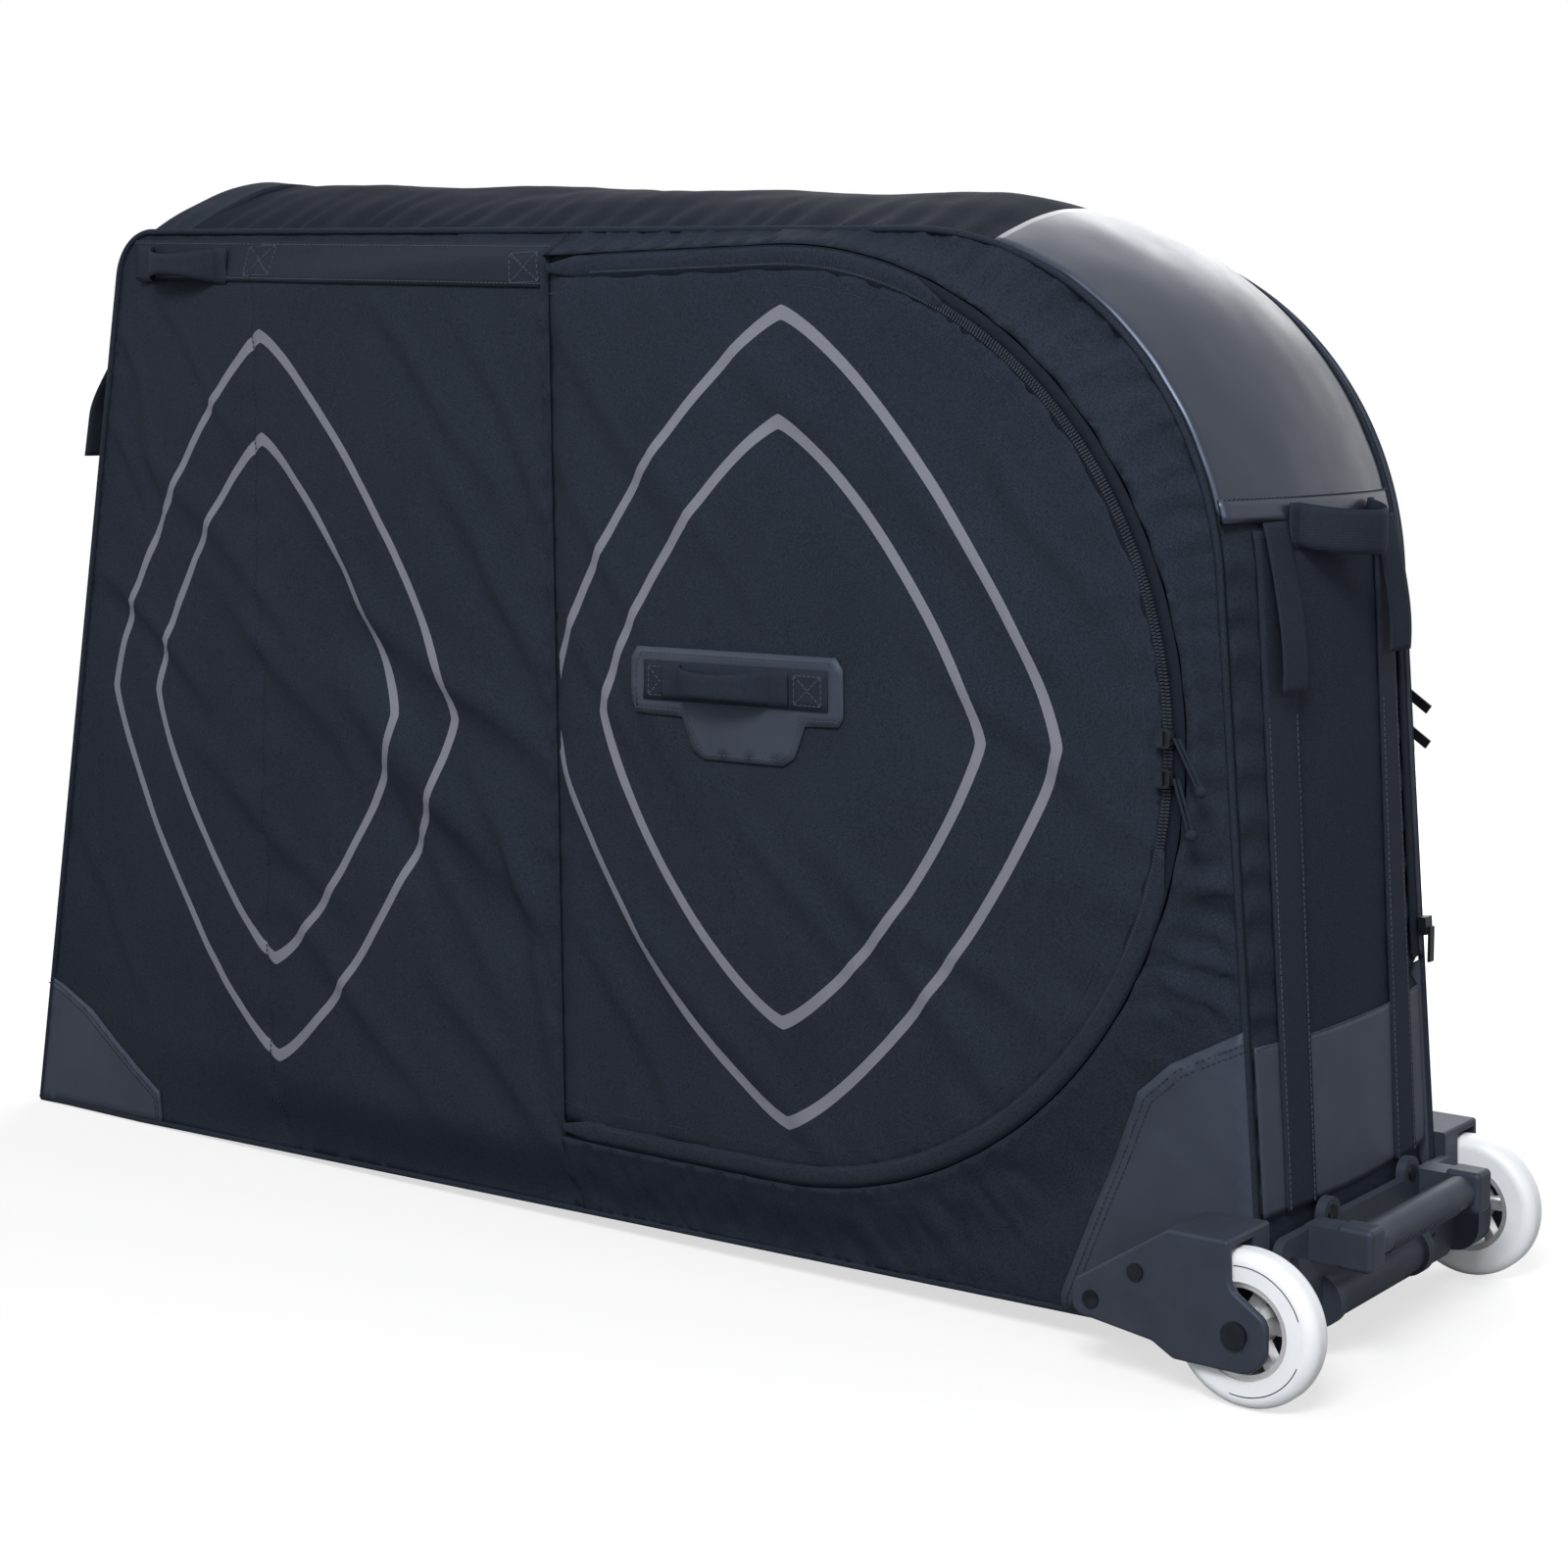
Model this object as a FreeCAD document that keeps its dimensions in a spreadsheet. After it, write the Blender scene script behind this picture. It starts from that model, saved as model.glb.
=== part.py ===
import FreeCAD, Part
import math
import os
import re

import Sketcher

# Wheeled soft travel case for a bicycle. Millimetres, +Z up, +X towards the wheels, origin on the floor
# under the middle of the case. The near side is -Y, the far side is +Y.

doc = FreeCAD.newDocument("bike_travel_case")
sheet = doc.addObject("Spreadsheet::Sheet", "Sizes")

# Driving dimensions
SIZES = {
    # Gusset band and side panels
    "half_width": 125, "wall": 8, "gusset_wall": 5, "fit": 0.3, "base_skim": 0.2,
    # Round wheel pockets in the sides; the case is drawn round them
    "pocket_x": 230, "pocket_floor": 80, "pocket_radius": 340, "pocket_seam_x": 15,
    "pocket_proud": 25, "pocket_depth": 55, "liner_wall": 4,
    "zip_rim": 12, "tape_thick": 2, "flap_thick": 6, "flap_trim": 14, "zip_inset": 50,
    # Padded swell of the sides: sections in front of the pocket, and the sloping rim round it
    "swell_low": 58, "swell_rise": 62, "swell_fall": 34, "swell_gap": 4, "sink": 1,
    "swell_mid_x": -130, "swell_mid": 25, "swell_fore_x": -290, "swell_fore": 20,
    "swell_edge_x": -460, "swell_edge": 9, "swell_tip_x": -575, "swell_tip": 2,
    "swell_tip_low": 150, "swell_tip_high": 400, "rim_flat": 2, "rim_slope": 24,
    # Side outline of the case where the gusset meets the side panels
    "front_foot_x": -675, "front_foot_z": 0, "front_top_x": -505, "front_top_rise": 40,
    "rear_top_in": 11, "rear_top_drop": 2, "rear_foot_out": 47, "rear_foot_z": 25,
    "front_top_round": 45, "rear_top_round": 255,
    # How far the gusset is crowned at the middle of its width
    "front_crown": 7, "top_crown": 50, "hood_crown": 22, "end_crown": 5, "crown_round": 30,
    "sill_height": 34, "top_start": -430, "hood_start": 400, "hood_drop": 183,
    # Lower corner reinforcements
    "patch_thick": 2, "rear_patch_foot_x": 462, "rear_patch_knee_x": 528, "rear_patch_knee_z": 190,
    "rear_patch_bend_x": 552, "rear_patch_bend_z": 212, "rear_patch_top_z": 238, "patch_corner_rise": 60,
    "front_patch_foot_x": -500, "front_patch_knee_x": -592, "front_patch_knee_z": 98,
    "front_patch_top_z": 127, "front_corner_rise": 100, "end_patch_drop": 10,
    # Webbing on the ends and sides
    "web": 2.5, "strap_inner": 62, "strap_wide": 36, "strap_foot_z": 112, "strap_tuck": 15,
    "zip_band": 15, "coil_thick": 4, "coil_set": 2,
    "handle_high": 32, "end_handle_reach": 62, "front_handle_reach": 80,
    "end_handle_drop": 27, "front_handle_drop": 160,
    "strip_front_x": -484, "strip_rear_x": 10, "strip_drop": 43, "strip_high": 33, "strip_fall": 22,
    "side_handle_x": -478, "side_handle_long": 112, "side_handle_off": 24, "strip_border": 1,
    "flap_handle_front": 30, "flap_handle_rear": 46, "flap_handle_high": 26,
    "patch_x": 108, "patch_long": 196, "patch_rise": 2, "patch_high": 50, "patch_round": 8,
    "lobe_front": 50, "lobe_rear": 34, "lobe_deep": 30, "lobe_slope": 16, "lobe_round": 10,
    # Wheels
    "wheel_radius": 53, "wheel_wide": 24, "wheel_out": 10, "wheel_y": 172, "tyre_inner": 33, "tyre_round": 9,
    "hub_wide": 21, "rim_thick": 4, "hub_core": 15, "spokes": 6, "spoke_wide": 8,
    "bearing_outer": 11, "bearing_bore": 4, "bearing_wide": 7, "bearing_run": 0.05, "spacer_wall": 2.5,
    "bolt_head": 9, "bolt_head_high": 3, "bolt_short": 1.5,
    # Wheel brackets, measured from the wheel's axle
    "plate": 5, "slot_round": 3, "slot_side": 3, "bracket_edge": 2.5,
    "tip_back": 123, "tip_top": 14, "tip_low": 9, "tip_round": 9,
    "belly_back": 62, "belly_low": 17, "lip_back": 46, "lip_low": 26, "lip_front": 22, "lip_round": 20,
    "neck_front": 5, "neck_high": 30, "neck_round": 12, "shoulder_high": 12,
    "bracket_top": 61, "crest_front": 6, "crest_back": 51, "crest_round": 8,
    "rivet": 6, "rivet_high": 1.5, "rivet_long": 18, "rivet_bed": 0.5,
    "tip_rivet_back": 108, "tip_rivet_high": 3, "slope_rivet_back": 74, "slope_rivet_high": 28,
    # Rear carrier with its grip
    "carrier_half": 135.5, "carrier_thick": 7, "carrier_low": 26, "carrier_high": 100, "carrier_round": 12,
    "lobe_wide": 24, "lobe_rise": 14, "lobe_tip": 11,
    "grip_reach": 31, "grip_radius": 12, "grip_half": 96, "grip_z": 91,
    "arm_wide": 22, "arm_high": 24, "cap_grow": 3, "cap_round": 4,
    "rib_wide": 2.5, "rib_pitch": 5, "rib_high": 1.5, "rib_count": 21,
    "bumper_radius": 16, "bumper_half": 74, "bumper_z": 44, "bumper_set": 5,
    "bumper_ring": 3, "bumper_ring_wide": 10,
    "end_rivet_in": 17, "end_rivet_drop": 20, "low_rivet_in": 34, "low_rivet_rise": 16, "lobe_rivet_rise": 3,
    # Inside
    "board_thick": 4, "board_half": 108, "board_inset": 16, "pad_long": 300, "pad_half": 55, "pad_high": 70,
    "pad_x": 60, "pad_groove": 26, "tube_radius": 11, "tube_wall": 2, "tube_y": 92, "tube_long": 690,
    "tube_set": 30, "tube_in": 6,
    # Zip sliders and their pulls
    "slider_long": 13, "slider_wide": 11, "slider_high": 6, "slider_round": 3, "bridge": 3,
    "bridge_rise": 2.5, "bridge_in": 2, "pull_long": 26, "pull_wide": 7, "pull_thick": 1.6, "pull_bite": 0.5,
    "tab_hang": 35,
    "tab_out": 2, "cord": 2.2, "cord_gap": 1.2, "cord_long": 38, "knot": 4,
    "upper_lean": 29, "lower_lean": 18,
    "main_slider_up": 24, "main_slider_in": 2, "main_tab_overlap": 6, "main_tab_in": 3.5,
}

# Sizes that follow from others
DERIVED = {
    "pocket_z": "pocket_floor + pocket_radius",
    "zip_radius": "pocket_radius - zip_rim",
    "front_top_z": "pocket_z + pocket_radius + front_top_rise",
    "rear_top_x": "pocket_x + pocket_radius - rear_top_in",
    "rear_top_z": "pocket_z + pocket_radius - rear_top_drop",
    "rear_foot_x": "pocket_x + pocket_radius + rear_foot_out",
    "hood_hem": "rear_top_z - hood_drop",
    "strap_top_z": "hood_hem - strap_tuck",
    "end_handle_z": "hood_hem - end_handle_drop",
    "front_handle_z": "front_top_z - front_handle_drop",
    "strip_low_z": "front_top_z - strip_drop",
    "patch_z": "pocket_z + patch_rise",
    "lobe_x": "patch_x + lobe_front",
    "lobe_long": "patch_long - lobe_front - lobe_rear",
    "flap_handle_x": "patch_x + flap_handle_front",
    "flap_handle_long": "patch_long - flap_handle_front - flap_handle_rear",
    "wheel_x": "rear_foot_x + wheel_out",
    "bracket_outer": "wheel_y + wheel_wide / 2 + slot_side + plate",
    "main_slider_z": "rear_patch_top_z + main_slider_up",
}
for row, (alias, size) in enumerate(SIZES.items(), start=1):
    sheet.set(f"A{row}", alias)
    sheet.set(f"B{row}", str(size))
    sheet.setAlias(f"B{row}", alias)
doc.recompute()

WORD = re.compile(r"[a-z][a-z_0-9]*")
MATHS = {"sqrt", "sin", "cos", "tan", "atan", "min", "max", "abs"}


def expand(text):
    """The text of an expression with each derived size written out in driving dimensions."""
    return WORD.sub(lambda m: f"({expand(DERIVED[m[0]])})" if m[0] in DERIVED else m[0], str(text))


def expr(text):
    """The text of an expression with each alias tied to its cell."""
    return WORD.sub(lambda m: m[0] if m[0] in MATHS else "Sizes." + m[0], expand(text))


def number(text):
    """The value that an expression has now."""
    return float(sheet.evalExpression(expand(text)))


def bind(feature, **values):
    for name, text in values.items():
        feature.setExpression(name.replace("__", "."), expr(text))
    return feature


def place(feature, x=0, y=0, z=0):
    return bind(feature, Placement__Base__x=x, Placement__Base__y=y, Placement__Base__z=z)


def turn(feature, axis, degrees):
    """Turns a placed feature about a fixed axis by a bound angle."""
    feature.Placement.Rotation = FreeCAD.Rotation(FreeCAD.Vector(*axis), 1)
    feature.setExpression("Placement.Rotation.Angle", expr(degrees))
    return feature


def box(name, x, y, z, long, wide, high):
    made = doc.addObject("Part::Box", name)
    return place(bind(made, Length=long, Width=wide, Height=high), x, y, z)


ALONG = {
    "z": FreeCAD.Rotation(),
    "y": FreeCAD.Rotation(FreeCAD.Vector(1, 0, 0), -90),
    "x": FreeCAD.Rotation(FreeCAD.Vector(0, 1, 0), 90),
}


def cylinder(name, axis, x, y, z, radius, long):
    made = doc.addObject("Part::Cylinder", name)
    made.Placement.Rotation = ALONG[axis]
    return place(bind(made, Radius=radius, Height=long), x, y, z)


def cut(name, base, tool):
    made = doc.addObject("Part::Cut", name)
    made.Base = base
    made.Tool = tool
    return made


def common(name, base, tool):
    made = doc.addObject("Part::Common", name)
    made.Base = base
    made.Tool = tool
    return made


def fuse(name, *shapes):
    made = doc.addObject("Part::MultiFuse", name)
    made.Shapes = list(shapes)
    return made


def group(name, *shapes):
    made = doc.addObject("Part::Compound", name)
    made.Links = list(shapes)
    return made


def mirror(name, source, normal=(0, 1, 0)):
    made = doc.addObject("Part::Mirroring", name)
    made.Source = source
    made.Normal = FreeCAD.Vector(*normal)
    return made


FLAT = {
    "xz": FreeCAD.Rotation(FreeCAD.Vector(1, 0, 0), 90),
    "xy": FreeCAD.Rotation(),
    "yz": FreeCAD.Rotation(FreeCAD.Vector(1, 1, 1), 120),
}


NORMAL = {
    "xz": FreeCAD.Vector(0, 1, 0),
    "xy": FreeCAD.Vector(0, 0, 1),
    "yz": FreeCAD.Vector(1, 0, 0),
}


def outline(name, plane, corners, offset=0):
    """A closed sketch through corners (u, v, radius), each bound to the sheet."""
    made = doc.addObject("Sketcher::SketchObject", name)
    made.Placement.Rotation = FLAT[plane]
    axis = {"xz": "y", "xy": "z", "yz": "x"}[plane]
    made.setExpression(f"Placement.Base.{axis}", expr(offset))
    points = [FreeCAD.Vector(number(u), number(v), 0) for u, v, _ in corners]
    lines = [
        made.addGeometry(Part.LineSegment(a, b), False)
        for a, b in zip(points, points[1:] + points[:1])
    ]
    for i, line in enumerate(lines):
        made.addConstraint(Sketcher.Constraint("Coincident", line, 2, lines[(i + 1) % len(lines)], 1))
    for i, (u, v, _) in enumerate(corners):
        for kind, text in (("DistanceX", u), ("DistanceY", v)):
            at = made.addConstraint(Sketcher.Constraint(kind, -1, 1, lines[i], 1, number(text)))
            made.setExpression(f"Constraints[{at}]", expr(text))
    return made


def prism(name, plane, corners, start, thick):
    """Pads an outline from start by thick, along the plane's normal axis, and rounds its corners."""
    sketch = outline(name + "_outline", plane, corners, start)
    sharp = not any(radius for _, _, radius in corners)
    made = doc.addObject("Part::Extrusion", name if sharp else name + "_blank")
    made.Base = sketch
    made.Solid = True
    made.DirMode = "Custom"
    made.Dir = NORMAL[plane]
    bind(made, LengthFwd=thick)
    if sharp:
        return made
    doc.recompute()
    rounded = doc.addObject("Part::Fillet", name)
    rounded.Base = made
    rounded.Edges = rounding(made.Shape, plane, corners)
    return rounded


SAME_PLACE = 1e-4  # two points nearer than this are one


def rounding(shape, plane, corners):
    """Fillet entries for the edges that stand on the rounded corners of an outline."""
    picks = {"xz": (0, 2, 1), "xy": (0, 1, 2), "yz": (1, 2, 0)}[plane]
    found = []
    for index, edge in enumerate(shape.Edges, start=1):
        a = edge.Vertexes[0].Point
        b = edge.Vertexes[-1].Point
        if abs(a[picks[2]] - b[picks[2]]) < SAME_PLACE:
            continue
        for u, v, radius in corners:
            apart = max(abs(a[picks[0]] - number(u)), abs(a[picks[1]] - number(v)))
            if radius and apart < SAME_PLACE:
                found.append((index, number(radius), number(radius)))
    return found


def softened(name, base, radius, keep):
    """Rounds the edges of base that keep picks."""
    doc.recompute()
    made = doc.addObject("Part::Fillet", name)
    made.Base = base
    size = number(radius)
    made.Edges = [(i, size, size) for i, edge in enumerate(base.Shape.Edges, start=1) if keep(edge)]
    return made


PIECES = {}


def piece(node, shape):
    """Names a finished sub-part."""
    shape.Label = node
    PIECES[node] = shape
    return shape


# Side outline: front foot, rear foot, rear top, front top
def case_corners(out, crown):
    """Corners of the side outline, moved outwards by out; crown is 1 at the middle of the gusset's width."""
    return [
        (f"front_foot_x - 1.25 * ({out}) - {crown} * end_crown", f"front_foot_z - ({out})", 0),
        (f"rear_foot_x + ({out}) + {crown} * end_crown", f"rear_foot_z - ({out})", 0),
        (f"rear_top_x + ({out}) + {crown} * hood_crown", f"rear_top_z + ({out}) + {crown} * hood_crown",
         f"rear_top_round + ({out}) + {crown} * crown_round"),
        (f"front_top_x - 0.8 * ({out}) - {crown} * front_crown",
         f"front_top_z + ({out}) + {crown} * top_crown",
         f"front_top_round + ({out}) + {crown} * crown_round"),
    ]


def rounded_wire(corners, y):
    """The side outline as a wire in the plane at y, with its two top corners as arcs."""
    points = [FreeCAD.Vector(number(u), y, number(v)) for u, v, _ in corners]
    radii = [number(r) for _, _, r in corners]
    edges = []
    ends = []
    for i, point in enumerate(points):
        to_last = (points[i - 1] - point).normalize()
        to_next = (points[(i + 1) % len(points)] - point).normalize()
        if not radii[i]:
            ends.append((point, None, point))
            continue
        half_turn = to_last.getAngle(to_next) / 2
        run = radii[i] / math.tan(half_turn)
        inward = (to_last + to_next).normalize()
        reach = (run ** 2 + radii[i] ** 2) ** 0.5 - radii[i]
        ends.append((point + to_last * run, point + inward * reach, point + to_next * run))
    for i, (arrive, middle, leave) in enumerate(ends):
        if middle:
            edges.append(Part.Arc(arrive, middle, leave).toShape())
        edges.append(Part.makeLine(leave, ends[(i + 1) % len(ends)][0]))
    return Part.Wire(edges)


def crowned(name, out, spread=0):
    """The whole case as one crowned solid, moved outwards by out; spread widens it past the side panels."""
    half = number("half_width") + spread
    made = doc.addObject("Part::Feature", name)
    sections = [rounded_wire(case_corners(out, crown), y) for y, crown in ((-half, 0), (0, 1), (half, 0))]
    made.Shape = Part.makeLoft(sections, True, False)
    return made


FAR = 2000  # longer than anything in the case, for cutting tools only

core = crowned("core", 0)
hollow = crowned("hollow", "-gusset_wall", spread=1)
shell = cut("shell", core, hollow)


def slab(name, x0, x1, z0, z1, y0=f"-{FAR / 2}", y1=f"{FAR / 2}"):
    return box(name, x0, y0, z0, f"({x1}) - ({x0})", f"({y1}) - ({y0})", f"({z1}) - ({z0})")


# Gusset: base, front end, top, hood and rear end are sewn together into one band
base_part = common("base_part", shell, slab("base_zone", -FAR, FAR, -FAR, "sill_height"))
base_slope = "(rear_foot_z - front_foot_z) / (rear_foot_x - front_foot_x)"
base_plane = prism("base_plane", "xz", [
    (-FAR, f"front_foot_z + base_skim - ({FAR} + front_foot_x) * {base_slope}", 0),
    (-FAR, -FAR, 0), (FAR, -FAR, 0),
    (FAR, f"front_foot_z + base_skim + ({FAR} - front_foot_x) * {base_slope}", 0),
], "-half_width - 1", "2 * half_width + 2")
piece("base_panel", cut("flat_base", base_part, base_plane))
piece("front_panel", common("front_part", shell, slab("front_zone", -FAR, "top_start", "sill_height", FAR)))
piece("top_panel", common("top_part", shell, slab("top_zone", "top_start", "hood_start", "sill_height", FAR)))
piece("hood_panel", common("hood_part", shell, slab("hood_zone", "hood_start", FAR, "hood_hem", FAR)))
piece("end_panel", common("end_part", shell, slab("end_zone", "hood_start", FAR, "sill_height", "hood_hem")))

# Skins that lie on the gusset: webbing straps, the lower end patch and the main zip's tape
skin_core = crowned("skin_core", "fit")
web_skin = cut("web_skin", crowned("web_core", "fit + web"), skin_core)


def skin(name, x0, x1, z0, z1, y0, y1):
    return common(name, web_skin, slab(name + "_zone", x0, x1, z0, z1, y0, y1))


far_strap = skin("far_strap", "hood_start", FAR, "strap_foot_z", "strap_top_z",
                 "strap_inner", "strap_inner + strap_wide")
piece("end_straps", group("end_strap_pair", far_strap, mirror("near_strap", far_strap)))
lower_end = skin("end_patch_skin", "hood_start", FAR, "strap_foot_z", "rear_patch_top_z - end_patch_drop",
                 "fit - strap_inner", "strap_inner - fit")
piece("end_patch", lower_end)
zip_edge = ("half_width - zip_band", "half_width - fit")
zip_rear = skin("zip_rear", 0, FAR, "rear_patch_top_z", FAR, *zip_edge)
zip_front = skin("zip_front", -FAR, 0, "front_patch_top_z", FAR, *zip_edge)
piece("main_zip_tape", fuse("main_zip_strip", zip_rear, zip_front))


# A wheel pocket's outline is a D: straight at its seam, half round towards the wheels
def d_shape(name, trim, start, thick, seam=None):
    """A D of the pocket's outline less trim, thick deep from start; seam is the trim at its straight side."""
    radius = f"(pocket_radius - ({trim}))"
    seam_x = f"(pocket_seam_x + ({trim if seam is None else seam}))"
    round_end = cylinder(name + "_round", "y", "pocket_x", start, "pocket_z", radius, thick)
    straight = box(name + "_straight", seam_x, start, f"pocket_z - {radius}",
                   f"pocket_x - {seam_x}", thick, f"2 * {radius}")
    behind = box(name + "_behind", f"{seam_x} - {FAR}", start, f"-{FAR / 2}", FAR, thick, FAR)
    return cut(name, fuse(name + "_sum", round_end, straight), behind)


side_face = "(half_width + fit + wall)"
rim_face = f"({side_face} + pocket_proud)"

side_blank = prism("side_blank", "xz", case_corners(0, 0), f"-{side_face}", "wall")
side_hole = d_shape("side_hole", "-fit", f"-{rim_face} - 1", "pocket_proud + wall + 2")


def below_strip(x):
    """Height just under the sewn strip at the top of the side."""
    run = f"(({x}) - strip_front_x) / (strip_rear_x - strip_front_x)"
    return f"(strip_low_z - strip_fall * {run} - swell_gap)"


def swell_section(name, x, low, high, height):
    """A section across the padded front of the near side."""
    foot_y = f"sink - {side_face}"
    crest_y = f"-{side_face} - {height}"
    return outline(name, "yz", [
        (foot_y, low, 0), (foot_y, high, 0),
        (crest_y, f"{high} - swell_fall", 0), (crest_y, f"{low} + swell_rise", 0)], x)


swell = doc.addObject("Part::Loft", "swell")
swell.Sections = [
    swell_section("seam_section", "pocket_seam_x", "swell_low", below_strip("pocket_seam_x"), "pocket_proud"),
    swell_section("mid_section", "swell_mid_x", "swell_low", below_strip("swell_mid_x"), "swell_mid"),
    swell_section("fore_section", "swell_fore_x", "swell_low", below_strip("swell_fore_x"), "swell_fore"),
    swell_section("edge_section", "swell_edge_x", "swell_low", below_strip("swell_edge_x"), "swell_edge"),
    swell_section("tip_section", "swell_tip_x", "swell_tip_low", "swell_tip_high", "swell_tip"),
]
swell.Solid = True
swell.Ruled = True

rim_cone = doc.addObject("Part::Cone", "rim_cone")
rim_cone.Placement.Rotation = ALONG["y"]
bind(rim_cone, Radius1="pocket_radius + rim_flat", Radius2="pocket_radius + rim_slope",
     Height="pocket_proud + sink")
place(rim_cone, "pocket_x", f"-{rim_face}", "pocket_z")
rim_round = cut("rim_round", rim_cone, slab("rim_front", -FAR, "pocket_x", -FAR, FAR))
rim_straight = prism("rim_straight", "yz", [
    (f"-{rim_face}", "pocket_z - pocket_radius - rim_flat", 0),
    (f"-{rim_face}", "pocket_z + pocket_radius + rim_flat", 0),
    (f"sink - {side_face}", "pocket_z + pocket_radius + rim_slope", 0),
    (f"sink - {side_face}", "pocket_z - pocket_radius - rim_slope", 0),
], "pocket_seam_x", "pocket_x - pocket_seam_x")
rim_bound = prism("rim_bound", "xz", case_corners(0, 0), f"-{rim_face}", "pocket_proud + sink")
rim = common("rim", fuse("rim_sum", rim_round, rim_straight), rim_bound)
near_side = piece("near_side_panel", cut("near_side", fuse("side_sum", side_blank, swell, rim), side_hole))

liner_block = d_shape("liner_block", 0, f"-{rim_face}", "pocket_proud + pocket_depth")
liner_space = d_shape("liner_space", "liner_wall", f"-{rim_face} - 1",
                      "pocket_proud + pocket_depth - liner_wall + 1")
near_liner = piece("near_pocket_liner", cut("near_liner", liner_block, liner_space))

tape_face = f"({rim_face} + fit + tape_thick)"
tape_block = d_shape("tape_block", 0, f"-{tape_face}", "tape_thick")
tape_hole = d_shape("tape_hole", "zip_rim - fit", f"-{tape_face} - 1", "tape_thick + 2")
tape_ring = cut("tape_ring", tape_block, tape_hole)
zip_end = slab("zip_end", -FAR, "pocket_seam_x + zip_inset", -FAR, FAR)
near_tape = piece("near_pocket_zip_tape", cut("near_tape", tape_ring, zip_end))

flap_face = f"({rim_face} + fit + flap_thick)"
flap_disc = d_shape("flap_disc", "zip_rim + fit", f"-{flap_face}", "flap_thick", seam=0)
near_flap = piece("near_flap_panel", flap_disc)
trim_face = f"({flap_face} + fit + tape_thick)"
trim_block = d_shape("trim_block", "zip_rim + fit", f"-{trim_face}", "tape_thick")
trim_hole = d_shape("trim_hole", "zip_rim + flap_trim", f"-{trim_face} - 1", "tape_thick + 2")
trim_ring = cut("trim_ring", trim_block, trim_hole)
near_trim = piece("near_flap_zip_tape", cut("near_trim", trim_ring, zip_end))


# Lower corners of the sides: coated patches on the near side, fixed corners on the far side
def corner_outline(end):
    if end == "rear":
        return [
            ("rear_patch_foot_x", "sill_height", 0), ("rear_patch_knee_x", "rear_patch_knee_z", 0),
            ("rear_patch_bend_x", "rear_patch_bend_z", 0),
            (FAR, f"rear_patch_bend_z + patch_corner_rise * {FAR} / 300", 0), (FAR, -FAR, 0),
            ("rear_patch_foot_x", -FAR, 0),
        ]
    return [
        ("front_patch_foot_x", "sill_height", 0), ("front_patch_knee_x", "front_patch_knee_z", 0),
        (-FAR, f"front_patch_knee_z + front_corner_rise * {FAR} / 300", 0), (-FAR, -FAR, 0),
        ("front_patch_foot_x", -FAR, 0),
    ]


ENDS = {"front": -1, "rear": 1}
near_skin = prism("near_skin", "xz", case_corners(0, 0), f"-{side_face} - fit - patch_thick", "patch_thick")
near_corners = [
    common(f"near_{end}_corner", near_skin,
           prism(f"near_{end}_cutter", "xz", corner_outline(end), -FAR, FAR))
    for end in ENDS
]
piece("near_corner_patches", group("near_patch_pair", *near_corners))


def roomy(end, way):
    """The corner's outline with room for the side panel beside it."""
    return [(f"({u}) - {way} * 2 * fit", f"({v}) + 2 * fit", 0) for u, v, _ in corner_outline(end)]


far_blank = mirror("far_blank", near_side)
corner_zone = fuse(
    "corner_zone",
    slab("sill_zone", -FAR, FAR, -FAR, "sill_height", "half_width", FAR),
    *[prism(f"far_{end}_cutter", "xz", corner_outline(end), "half_width", FAR) for end in ENDS],
)
piece("far_sill_panel", common("far_sill", far_blank, corner_zone))
corner_room = fuse(
    "corner_room",
    slab("sill_room", -FAR, FAR, -FAR, "sill_height + fit", "half_width", FAR),
    *[prism(f"far_{end}_room", "xz", roomy(end, way), "half_width", FAR) for end, way in ENDS.items()],
)
piece("far_side_panel", cut("far_side", far_blank, corner_room))
piece("far_pocket_liner", mirror("far_liner", near_liner))
piece("far_pocket_zip_tape", mirror("far_tape", near_tape))
piece("far_flap_panel", mirror("far_flap", near_flap))
piece("far_flap_zip_tape", mirror("far_trim", near_trim))

# Coil of the main zip round the far side panel's edge
coil_outer = prism("coil_outer", "xz", case_corners("fit + web", 0), "half_width + coil_set", "coil_thick")
coil_inner = prism("coil_inner", "xz", case_corners("fit", 0), "half_width + coil_set - 1", "coil_thick + 2")
coil_ring = cut("coil_ring", coil_outer, coil_inner)
piece("main_zip_coil", cut("main_coil", coil_ring, corner_room))


# Webbing handles: a U of strap that stands off what it is sewn to
def u_corners(start, long, base, off):
    """Corners of a U seen edge on: feet at base, bar at base + off."""
    end = f"({start}) + ({long})"
    top = f"({base}) + ({off})"
    return [
        (start, base, 0), (start, top, "3 * web"), (end, top, "3 * web"), (end, base, 0),
        (f"{end} - web", base, 0), (f"{end} - web", f"{top} - web", "2 * web"),
        (f"({start}) + web", f"{top} - web", "2 * web"), (f"({start}) + web", base, 0),
    ]


# Rear end handle between the straps, and its twin on the front end; their feet are trimmed to the gusset
def end_loop(name, root_x, way, reach, low_z):
    corners = u_corners("fit - strap_inner", "2 * (strap_inner - fit)", 0, reach)
    seen = [(f"{root_x} + {way} * ({v})", u, r) for u, v, r in corners]
    return cut(name, prism(name + "_loop", "xy", seen, low_z, "handle_high"), skin_core)


piece("end_handle", end_loop("end_grab", "rear_top_x", 1, "end_handle_reach", "end_handle_z"))
piece("front_handle", end_loop("front_grab", "front_top_x", -1, "front_handle_reach", "front_handle_z"))

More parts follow.
